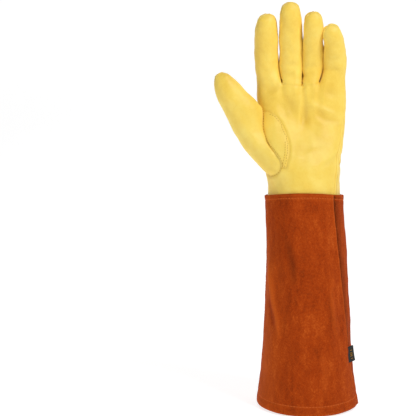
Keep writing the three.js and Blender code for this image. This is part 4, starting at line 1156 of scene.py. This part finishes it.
# %% Split suede: rust brown, cloudy where the nap lies one way or the other
def split_suede():
    material, tree, shader, place = start_material("split_suede")
    clouds = noise(tree, place, 34, 4, 0.6, (1, 1, 0.55))
    strokes = noise(tree, place, 150, 4, 0.65, (1, 1, 0.45))
    nap, fuzz = noise(tree, place, 520, 5, 0.7), noise(tree, place, 1900, 3, 0.7)
    seam = node(tree, "ShaderNodeAttribute", {"attribute_name": "seam"}, output=2)
    cloudy = clouds * 0.3 + strokes * 0.3 + nap * 0.4
    colour = node(tree, "ShaderNodeValToRGB", {"stops": [
        (0.36, linear(118, 35, 2)), (0.46, linear(152, 50, 4)), (0.54, linear(168, 61, 8)),
        (0.64, linear(195, 88, 27))]}, [cloudy])
    # The seam attribute darkens with painted shade (seams' grooves with a little dirt, the strip beside the
    # outer seam, fold hollows); where negative it pales, for painted light on fold crests, the front seam's
    # edge and the thumb's side, and along the hem lines and rims
    colour = mixed(tree, seam * 0.7, colour, linear(84, 24, 4))
    colour = mixed(tree, seam * -0.45, colour, linear(210, 95, 29))
    colour = mixed(tree, (fuzz - 0.45) * 1.1, colour, linear(228, 124, 54))
    tree.links.new(colour.socket, shader.inputs["Base Color"])
    rough = 0.9 + (nap - 0.5) * 0.15
    tree.links.new(rough.socket, shader.inputs["Roughness"])
    height = nap * 0.8 + fuzz * 0.6
    bump = node(tree, "ShaderNodeBump", None, {"Strength": 0.7, "Distance": 0.0004, "Height": height})
    tree.links.new(bump.socket, shader.inputs["Normal"])
    shader.inputs["Specular IOR Level"].default_value = 0.06
    shader.inputs["Sheen Weight"].default_value = 0.08
    shader.inputs["Sheen Roughness"].default_value = 0.45
    shader.inputs["Sheen Tint"].default_value = (*linear(235, 140, 80), 1)
    return material


MATERIALS["suede"] = split_suede()
print("the suede is a sum of", len(MATERIALS["suede"].node_tree.nodes), "nodes")


# %% Thread and the black woven tape of the tab
def thread(name, light, dark):
    material, tree, shader, place = start_material(name)
    twist = noise(tree, place, 1500, 2)
    tree.links.new(mixed(tree, twist, dark, light).socket, shader.inputs["Base Color"])
    bump = node(tree, "ShaderNodeBump", None, {"Strength": 0.4, "Distance": 0.0001, "Height": twist})
    tree.links.new(bump.socket, shader.inputs["Normal"])
    shader.inputs["Roughness"].default_value = 0.8
    shader.inputs["Specular IOR Level"].default_value = 0.12
    return material


def woven_tape(name, light, dark):
    material, tree, shader, place = start_material(name)
    waft = node(tree, "ShaderNodeTexWave", {"wave_type": "BANDS", "bands_direction": "Z"},
                {"Vector": place, "Scale": 700})
    warp = node(tree, "ShaderNodeTexWave", {"wave_type": "BANDS", "bands_direction": "X"},
                {"Vector": place, "Scale": 900})
    weave = waft * 0.6 + warp * 0.4
    tree.links.new(mixed(tree, weave, dark, light).socket, shader.inputs["Base Color"])
    bump = node(tree, "ShaderNodeBump", None, {"Strength": 0.6, "Distance": 0.00015, "Height": weave})
    tree.links.new(bump.socket, shader.inputs["Normal"])
    shader.inputs["Roughness"].default_value = 0.65
    return material


WOVEN = [  # name, kind, light colour, dark colour
    ("pale_thread", thread, (238, 202, 94), (184, 140, 44)),
    ("rust_thread", thread, (224, 116, 54), (184, 78, 26)),
    ("black_tape", woven_tape, (30, 28, 26), (9, 8, 8)),
    ("gold_thread", thread, (214, 160, 52), (150, 100, 22)),
]
for name, kind, light, dark in WOVEN:
    MATERIALS[name] = kind(name, linear(*light), linear(*dark))
print("materials:", sorted(MATERIALS))

# %% [markdown]
# ## Thin shells
# Every panel of the hand becomes a closed sheet of real thickness: the skin outside, the same skin one wall
# further in, and a rim that joins the two along the cut edge. That way the glove is a real hollow, and what
# shows in the mouth is leather too. A Solidify modifier would do much the same, but here the inside can
# follow the skin as it was before the seams pulled it in, so the walls keep from crossing in the valleys.

# %% Make an object from points and quads
def make_piece(name, points, quads, material, replaces=(), seam=None, sharp=48):
    """One object in metres. Edges sharper than some degrees stay sharp."""
    mesh = bpy.data.meshes.new(name)
    faces = [list(dict.fromkeys(f)) for f in quads.tolist()]
    mesh.from_pydata((points * MM).tolist(), [], [f for f in faces if len(f) > 2])
    if seam is not None:
        mesh.attributes.new("seam", "FLOAT", "POINT").data.foreach_set("value", seam.astype(np.float32))
    mesh.materials.append(MATERIALS[material])
    mesh.polygons.foreach_set("use_smooth", [True] * len(mesh.polygons))
    mesh.set_sharp_from_angle(angle=math.radians(sharp))
    obj = bpy.data.objects.new(name, mesh)
    bpy.context.scene.collection.objects.link(obj)
    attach(obj, "root")
    if replaces:
        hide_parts(*replaces)
    return obj


def shell_of(outer, inner, quads):
    """A closed shell from the quads of an outer skin and where their points go on the inside."""
    used, index = np.unique(quads, return_inverse=True)
    quads = index.reshape(-1, 4)
    n = len(used)
    edges = np.concatenate([quads[:, [k, (k + 1) % 4]] for k in range(4)])
    edges = edges[edges[:, 0] != edges[:, 1]]
    _, first_at, uses = np.unique(np.sort(edges, 1), axis=0, return_index=True, return_counts=True)
    a, b = edges[first_at[uses == 1]].T
    rims = np.stack([b, a, a + n, b + n], 1)
    points = np.concatenate([outer[used], inner[used]])
    return points, np.concatenate([quads, quads[:, ::-1] + n, rims]), used


OUTER_SEAM_EXTRA_SHADE, EXTRA_SHADE_FROM, EXTRA_SHADE_TO = 1.4, 16, 42
inside_normals = point_normals(skin_inside, skin_quads)
inner_skin = skin_inside - inside_normals * LEATHER
# The outer side seam gets stronger painted shade in its groove for a short way above the cuff
outer_seam_extra_shade = 1 - smoothstep(skin[:, 2] - CUFF_LENGTH, EXTRA_SHADE_FROM, EXTRA_SHADE_TO)
outer_seam_extra_shade *= smoothstep(skin[:, 0], 15, 25)
# Painted shade in the seams' grooves with a little dirt, and in the creases' hollows, with painted highlight
# on ridges
skin_shade = seam_shade_and_dirt(seam_away) * seam_weight * (1 + OUTER_SEAM_EXTRA_SHADE * outer_seam_extra_shade) + crease_painted_shade
for k, panel in enumerate(PANELS):
    points, quads, used = shell_of(skin, inner_skin, skin_quads[skin_panels == k])
    make_piece(panel + "_leather", points, quads, "leather", [panel],
                               np.tile(skin_shade[used], 2))

thumb_flat = thumb.reshape(-1, 3)
thumb_quads = grid_quads(*thumb.shape[:2])
thumb_inside = thumb_flat - grid_normals(thumb).reshape(-1, 3) * LEATHER
points, quads, used = shell_of(thumb_flat, thumb_inside, thumb_quads)
# The thumb's seams get painted shade in their grooves, with a little dirt
make_piece("thumb_leather", points, quads, "leather", ["thumb"],
                             np.tile(seam_shade_and_dirt(thumb_away[used]), 2))
for name, (points, quads, shade, _) in cuffs.items():
    make_piece(name + "_suede", points, quads, "suede", [name], shade, 60)

# %% [markdown]
# ## Stitches
# At arm's length the stitches are what makes a glove look sewn. Each one is a short round bar of thread that
# dips into the leather at both ends. A row of them follows a line on the skin, so the line is first laid on
# the surface and then walked in steps of one stitch.

# %% Rows of stitches along a line on a surface
STITCH_PITCH, STITCH_LENGTH, THREAD_RADIUS, BAR_SIDES = 2.9, 1.9, 0.34, 6
BAR_PROFILE = [  # place along the bar, thickness, rise
    (-0.5, 0.25, -0.3), (-0.36, 0.85, 0.1), (0, 1.0, 0.35), (0.36, 0.85, 0.1), (0.5, 0.25, -0.3),
]


def on_surface(places, tree):
    """The nearest places of a surface, and the directions in which it faces there."""
    found = [tree.find_nearest(Vector(p)) for p in places]
    return np.array([f[0] for f in found]), np.array([f[1] for f in found])


def walked(line, pitch):
    """Places along a line, one pitch apart."""
    steps = np.linalg.norm(np.diff(line, axis=0), axis=1)
    along = np.concatenate([[0], np.cumsum(steps)])
    at = np.arange(0, along[-1], pitch)
    return np.stack([np.interp(at, along, line[:, k]) for k in range(3)], 1)


def smoothed(line, reach):
    """The line with its small wiggles averaged out."""
    padded = np.pad(line, ((reach, reach), (0, 0)), "edge")
    window = np.ones(2 * reach + 1) / (2 * reach + 1)
    return np.stack([np.convolve(padded[:, k], window, "valid") for k in range(3)], 1)


def beside(line, tree, offset, reach=2):
    """The same line, moved sideways over the surface."""
    places, facing = (smoothed(found, reach) for found in on_surface(line, tree))
    side = np.cross(facing, np.gradient(places, axis=0))
    side /= np.maximum(np.linalg.norm(side, axis=1, keepdims=True), 1e-9)
    return smoothed(on_surface(places + side * offset, tree)[0], reach)


def stitch_bars(line, tree, pitch=STITCH_PITCH, length=STITCH_LENGTH, radius=THREAD_RADIUS, lift=0.12):
    """Points and quads of all the stitches of one row."""
    places, facing = on_surface(walked(line, pitch), tree)
    points, quads = [], []
    for p, up, along in zip(places, facing, np.gradient(places, axis=0)):
        along = unit(along - up * (along @ up))
        side = np.cross(up, along)
        base = len(points)
        for share, size, rise in BAR_PROFILE:
            centre = p + along * share * length + up * (lift + rise * radius)
            for k in range(BAR_SIDES):
                angle = 2 * math.pi * k / BAR_SIDES
                points.append(centre + (side * math.cos(angle) + up * math.sin(angle)) * radius * size)
        quads += (grid_quads(len(BAR_PROFILE), BAR_SIDES) + base).tolist()
        # Each end is closed by two quads over its six points
        for ring, order in ((0, -1), (len(BAR_PROFILE) - 1, 1)):
            a, b, c, d, e, f = (base + ring * BAR_SIDES + k for k in range(BAR_SIDES))
            quads += [[a, b, c, d][::order], [a, d, e, f][::order]]
    return np.array(points), np.array(quads)


print("a stitch has", len(BAR_PROFILE) * BAR_SIDES, "points")

# %% One object from several rows of stitches
sewn_on = {}


def stitch_piece(name, rows, tree, material, carrier, slot, **sizes):
    """One object from several rows of stitches, which belong to the panel called carrier."""
    points, quads = [], []
    for row in rows:
        p, q = stitch_bars(row, tree, **sizes)
        quads.append(q + sum(len(x) for x in points))
        points.append(p)
    obj = make_piece(name, np.concatenate(points), np.concatenate(quads), material)
    sewn_on.setdefault(carrier, []).append(obj)
    print(name, "has", sum(len(p) for p in points) // (len(BAR_PROFILE) * BAR_SIDES), "stitches")


def leads_away(line, centre):
    """1 if a positive step beside a line of the hand leads away from a centre, else -1."""
    middle = len(line) // 2
    moved = beside(line, skin_tree, 3)[middle]
    return 1 if np.linalg.norm(moved - centre) > np.linalg.norm(line[middle] - centre) else -1


print("threads to sew with:", [name for name in MATERIALS if "thread" in name])

# %% Rows beside the seam on the thumb's side, round the thumb and along the gusset
on_thumb_side = touching[PANELS.index("back_panel")] & touching[PALM] & (skin[:, 0] < CUFF_LEAN)
above_cuff = skin[:, 2] - CUFF_LENGTH
side_line = skin[on_thumb_side & (above_cuff > -4) & (above_cuff < 98)]
side_line = side_line[np.argsort(side_line[:, 2])]
rows = [beside(side_line, skin_tree, offset, reach=5) for offset in (-3.4, -6.4)]
stitch_piece("thumb_side_seam_stitches", rows, skin_tree, "pale_thread", "palm_panel", "grain_leather")

# The thumb's seam starts at its top. It is followed down the back, and down the front as far as it shows
loop = np.roll(thumb_outline, -int(np.argmax(thumb_outline[:, 2])), 0)
loop_share = np.arange(len(loop)) / len(loop)
back_part = loop[(loop_share < 0.5) & (loop[:, 2] > 264)]
front_part = loop[::-1][(loop_share < 0.62) & (loop[::-1, 2] > 246)]
outward = leads_away(back_part, loop.mean(0))
rows = [beside(back_part, skin_tree, outward * offset) for offset in (2.4, 5.2)]
stitch_piece("thumb_seam_stitches", rows, skin_tree, "pale_thread", "palm_panel", "grain_leather")

# Only the gusset's free edge is stitched, with a second row on its lower part
LEAF_START, LEAF_END, SECOND_ROW_START = 10, int(len(leaf) * 8.3 / 12), 70
leaf_free = leaf[LEAF_START:LEAF_END]
inward = -leads_away(leaf_free, leaf.mean(0))
rows = [
    beside(leaf_free, skin_tree, inward * 2.3),
    beside(leaf_free[SECOND_ROW_START:], skin_tree, inward * 4.6),
    beside(front_part, skin_tree, -outward * 2.4),
]
stitch_piece("gusset_stitches", rows, skin_tree, "pale_thread", "thumb_gusset", "grain_leather")

# %% The elastic's zig-zag across the back of the wrist
ZIGZAG_COUNT, ZIGZAG_HALF, ZIGZAG_STEP = 30, 2.3, 0.8
elastic_up = (ELASTIC_Z - CUFF_LENGTH) / (PALM_LENGTH + 6)
start = read(SIDE_SEAMS, elastic_up, "outer") + 12
end = read(SIDE_SEAMS, elastic_up, "thumb") + 357
zigzag = []
for k in range(ZIGZAG_COUNT + 1):
    x, y, _ = hand_point(lerp(start, end, k / ZIGZAG_COUNT), elastic_up)
    zigzag.append([x, y, ELASTIC_Z + (ZIGZAG_HALF if k % 2 else -ZIGZAG_HALF)])
zigzag = on_surface(walked(np.array(zigzag), ZIGZAG_STEP), skin_tree)[0]
stitch_piece("wrist_elastic_stitches", [zigzag], skin_tree, "pale_thread", "back_panel", "grain_leather",
             pitch=1.7, length=1.6, radius=0.32, lift=0.1)

# %% Hem stitches of the cuff
cuff_points, cuff_quads, offset = [], [], 0
for *_, grid in cuffs.values():
    cuff_points.append(grid.reshape(-1, 3))
    cuff_quads.append(grid_quads(*grid.shape[:2], closed=False) + offset)
    offset += grid.shape[0] * grid.shape[1]
cuff_tree = tree_of(np.concatenate(cuff_points), np.concatenate(cuff_quads))


def level_line(height):
    """A line round both panels of the cuff at one height."""
    row = round(height / CUFF_LENGTH * CUFF_ROWS)
    rows = [grid[row, 2:-2] for *_, grid in cuffs.values()]
    return np.concatenate(rows + [rows[0][:1]])


HEM_STITCH = dict(pitch=3.2, length=2.4, radius=0.32)
for name, height in (("hem_stitches", HEM_LINE), ("cuff_top_stitches", TOP_LINE)):
    stitch_piece(name, [level_line(height)], cuff_tree, "rust_thread", "cuff_front", "suede", **HEM_STITCH)

# %% [markdown]
# ## The tab in the side seam
# A small folded piece of woven tape is caught in the outer seam near the mouth. The loop is a thin ribbon
# bent round its fold, so it is drawn as an outline seen from above and pulled up. Short plain bars of gold
# thread lie on its outside.

# %% A folded loop of tape
TAB_WIDTH, TAB_HEIGHT, TAPE = 8.5, 16.4, 0.34
TAB_RISE, TAB_LEAD, TAB_LIFT, TAB_GAP = 45, 5, math.radians(31), 0.4
TAB_TAIL, TAB_SWELL, TAB_BOW = 1.0, 0.28, 0.35
FOLD_AT, FOLD_RADIUS, FOLD_OPEN = 3.75, 0.5, 0.5
GOLD_BARS = [(0.9, 3.9), (1.5, 1.2), (1.2, -0.4), (1.5, -2.0), (0.9, -4.9)]  # half length, height


def beside_seam(z, lead):
    up = np.array([z / CUFF_LENGTH])
    return cuff_surface(softened(up, "seam") - lead, up)[0]


low, high = (beside_seam(z, TAB_LEAD) for z in (TAB_RISE, TAB_RISE + TAB_HEIGHT))
tall_axis = unit(high - low)
round_axis = beside_seam(TAB_RISE + TAB_HEIGHT / 2, TAB_LEAD - 8) - (low + high) / 2
round_axis = unit(round_axis - tall_axis * (round_axis @ tall_axis))
out_axis = np.cross(round_axis, tall_axis)
wide_axis = round_axis * math.cos(TAB_LIFT) + out_axis * math.sin(TAB_LIFT)
thin_axis = np.cross(tall_axis, wide_axis)
centre = (low + high) / 2 + wide_axis * TAB_WIDTH / 2 + out_axis * TAB_GAP
outline = [(-TAB_WIDTH / 2 - TAB_TAIL, -TAPE / 2)]
for x in np.linspace(-TAB_WIDTH / 2, FOLD_AT - 0.05, 12):
    outline.append((x, -TAPE / 2 - TAB_SWELL * math.sin(math.pi * (x / TAB_WIDTH + 0.5)) ** 2))
for angle in np.linspace(FOLD_OPEN, math.pi - FOLD_OPEN, 9):
    outline.append((FOLD_AT + FOLD_RADIUS * math.sin(angle), -FOLD_RADIUS * math.cos(angle)))
outline += [(x, -y) for x, y in outline[12::-1]]
outline = smooth_line([(x, y, 0) for x, y in outline], 3)[:, :2]
across = np.gradient(outline, axis=0)
across = np.stack([across[:, 1], -across[:, 0]], 1) / np.linalg.norm(across, axis=1, keepdims=True)
print("the tape's outline has", len(outline), "points")
levels = np.linspace(-TAB_HEIGHT / 2, TAB_HEIGHT / 2, 25)


def tape_point(x, y, z):
    bow = TAB_BOW * math.cos(math.pi * z / TAB_HEIGHT) * (x / TAB_WIDTH + 0.5)
    return centre + wide_axis * x + thin_axis * (y + bow) + tall_axis * z


outer = np.array([[tape_point(x, y, z) for x, y in outline + across * TAPE / 2] for z in levels])
inner = np.array([[tape_point(x, y, z) for x, y in outline - across * TAPE / 2] for z in levels])
tape_quads = grid_quads(*outer.shape[:2], closed=False)
points, quads, _ = shell_of(outer.reshape(-1, 3), inner.reshape(-1, 3), tape_quads)
make_piece("side_tab_tape", points, quads, "black_tape", ["side_tab"],
                                sharp=40)
lines = []
for half, z in GOLD_BARS:
    lines.append(np.array([tape_point(x, -TAPE - 0.35, z) for x in np.linspace(-half, half, 5)]))
tape_tree = tree_of(outer.reshape(-1, 3), tape_quads)
stitch_piece("side_tab_lines", lines, tape_tree, "gold_thread", "side_tab", "woven_tab",
             pitch=0.8, length=0.8, radius=0.3, lift=0.1)

# %% [markdown]
# ## The cut of every panel
# Every piece of this glove was a flat sheet first. The table says how wide and how long each one was cut, and
# the area inside its outline, so that the finished shape can be compared with the leather it was made from.

SHEETS = dict(  # cut width and length in millimetres, area in square millimetres, what carries it
    cuff_front=(200, 240, 35400, None),
    cuff_back=(205, 240, 36300, "cuff_front"),
    palm_panel=(135, 215, 19500, "cuff_front"),
    back_panel=(130, 225, 19400, "cuff_back"),
    middle_front=(38, 94, 3020, "palm_panel"),
    ring_front=(34, 84, 2410, "palm_panel"),
    fourchette_index_middle=(17, 165, 2280, "back_panel"),
    fourchette_middle_ring=(16, 165, 2190, "back_panel"),
    fourchette_ring_little=(16, 142, 1850, "back_panel"),
    thumb_gusset=(34, 66, 1250, "palm_panel"),
    thumb=(105, 125, 9350, "palm_panel"),
    side_tab=(19, 17, 320, "cuff_back"),
)
for name, (width, length, area, carrier) in SHEETS.items():
    "folded" if name == "side_tab" else "stretched"
print("sheets declared:", len(SHEETS))

# %% [markdown]
# ## Floor, light and camera
# The glove is photographed on plain white, from the front and very slightly above, with a long lens. The
# floor runs up into a backdrop in one sweep, so that no horizon shows. One broad soft light from the upper
# right shapes the folds, a weaker one fills the shade, and one from behind lights the rims.

# %% A swept backdrop
FLOOR_Z, SWEEP_RADIUS, BACKDROP_Y, BACKDROP_WIDTH = -0.0045, 0.8, 2.2, 9
FLOOR_START, BACKDROP_TOP, SWEEP_STEPS = -3.0, 4.0, 12
PAPER_GREY, PAPER_GLOW = 0.4, 0.8
profile = [(FLOOR_START, FLOOR_Z), (BACKDROP_Y - SWEEP_RADIUS, FLOOR_Z)]
for k in range(1, SWEEP_STEPS + 1):
    angle = math.pi / 2 * k / SWEEP_STEPS
    profile.append((BACKDROP_Y - SWEEP_RADIUS + SWEEP_RADIUS * math.sin(angle),
                    FLOOR_Z + SWEEP_RADIUS * (1 - math.cos(angle))))
profile.append((BACKDROP_Y, BACKDROP_TOP))
mesh = bpy.data.meshes.new("studio_floor")
rows = [[(-BACKDROP_WIDTH / 2, y, z), (BACKDROP_WIDTH / 2, y, z)] for y, z in profile]
mesh.from_pydata([p for row in rows for p in row], [],
                 [(2 * k, 2 * k + 1, 2 * k + 3, 2 * k + 2) for k in range(len(rows) - 1)])
mesh.polygons.foreach_set("use_smooth", [True] * len(mesh.polygons))
floor = bpy.data.objects.new("studio_floor", mesh)
bpy.context.scene.collection.objects.link(floor)
white = bpy.data.materials.new("white_paper")
white.use_nodes = True
paper = next(n for n in white.node_tree.nodes if n.type == "BSDF_PRINCIPLED")
paper.inputs["Base Color"].default_value = (PAPER_GREY, PAPER_GREY, PAPER_GREY, 1)
paper.inputs["Roughness"].default_value = 0.9
paper.inputs["Emission Color"].default_value = (1, 1, 1, 1)
paper.inputs["Emission Strength"].default_value = PAPER_GLOW
mesh.materials.append(white)
print("the floor lies at", FLOOR_Z, "m and the backdrop at", BACKDROP_Y, "m")


# %% Lights and camera
def area_light(name, place, aim, size, power):
    data = bpy.data.lights.new(name, "AREA")
    data.shape, data.size, data.energy = "DISK", size, power
    light = bpy.data.objects.new(name, data)
    light.location = place
    light.rotation_mode = "QUATERNION"
    light.rotation_quaternion = (Vector(aim) - Vector(place)).to_track_quat("-Z", "Y")
    bpy.context.scene.collection.objects.link(light)


LIGHTS = [  # name, place, aim, size, power
    ("key", (0.7, -0.85, 1.4), (0, 0, 0.25), 0.4, 18),
    ("fill", (-1.5, -1.1, 0.12), (0, 0, 0.12), 0.8, 8),
    ("rim", (-0.5, 1.5, 1.3), (0, 0, 0.25), 1.0, 5),
]
WORLD_STRENGTH, SENSOR_WIDTH, PHOTO_PIXELS = 0.08, 36, 416
for light in LIGHTS:
    area_light(*light)
world = bpy.data.worlds.new("studio")
world.use_nodes = True
world.node_tree.nodes["Background"].inputs[0].default_value = (1, 1, 1, 1)
world.node_tree.nodes["Background"].inputs[1].default_value = WORLD_STRENGTH
bpy.context.scene.world = world
bpy.context.scene.view_settings.view_transform = "Standard"

DISTANCE, ELEVATION, YAW_LEFT, FOCAL_PIXELS = 1.2, math.radians(3), math.radians(5.05), 1127.7
aim = Vector((0, 0, 0.2046))
camera_data = bpy.data.cameras.new("camera")
camera_data.sensor_width = SENSOR_WIDTH
camera_data.lens = SENSOR_WIDTH * FOCAL_PIXELS / PHOTO_PIXELS
camera = bpy.data.objects.new("camera", camera_data)
camera.location = aim + Vector((0, -math.cos(ELEVATION), math.sin(ELEVATION))) * DISTANCE
camera.rotation_mode = "QUATERNION"
looking = (aim - camera.location).to_track_quat("-Z", "Y")
camera.rotation_quaternion = looking @ Quaternion((0, 1, 0), YAW_LEFT)
camera_data.clip_start, camera_data.clip_end = 0.05, 20
bpy.context.scene.collection.objects.link(camera)
bpy.context.scene.camera = camera
print("the camera stands", DISTANCE, "m away with a lens of", round(camera_data.lens, 1), "mm")

# %% Bring the scene up to date
bpy.context.view_layer.update()
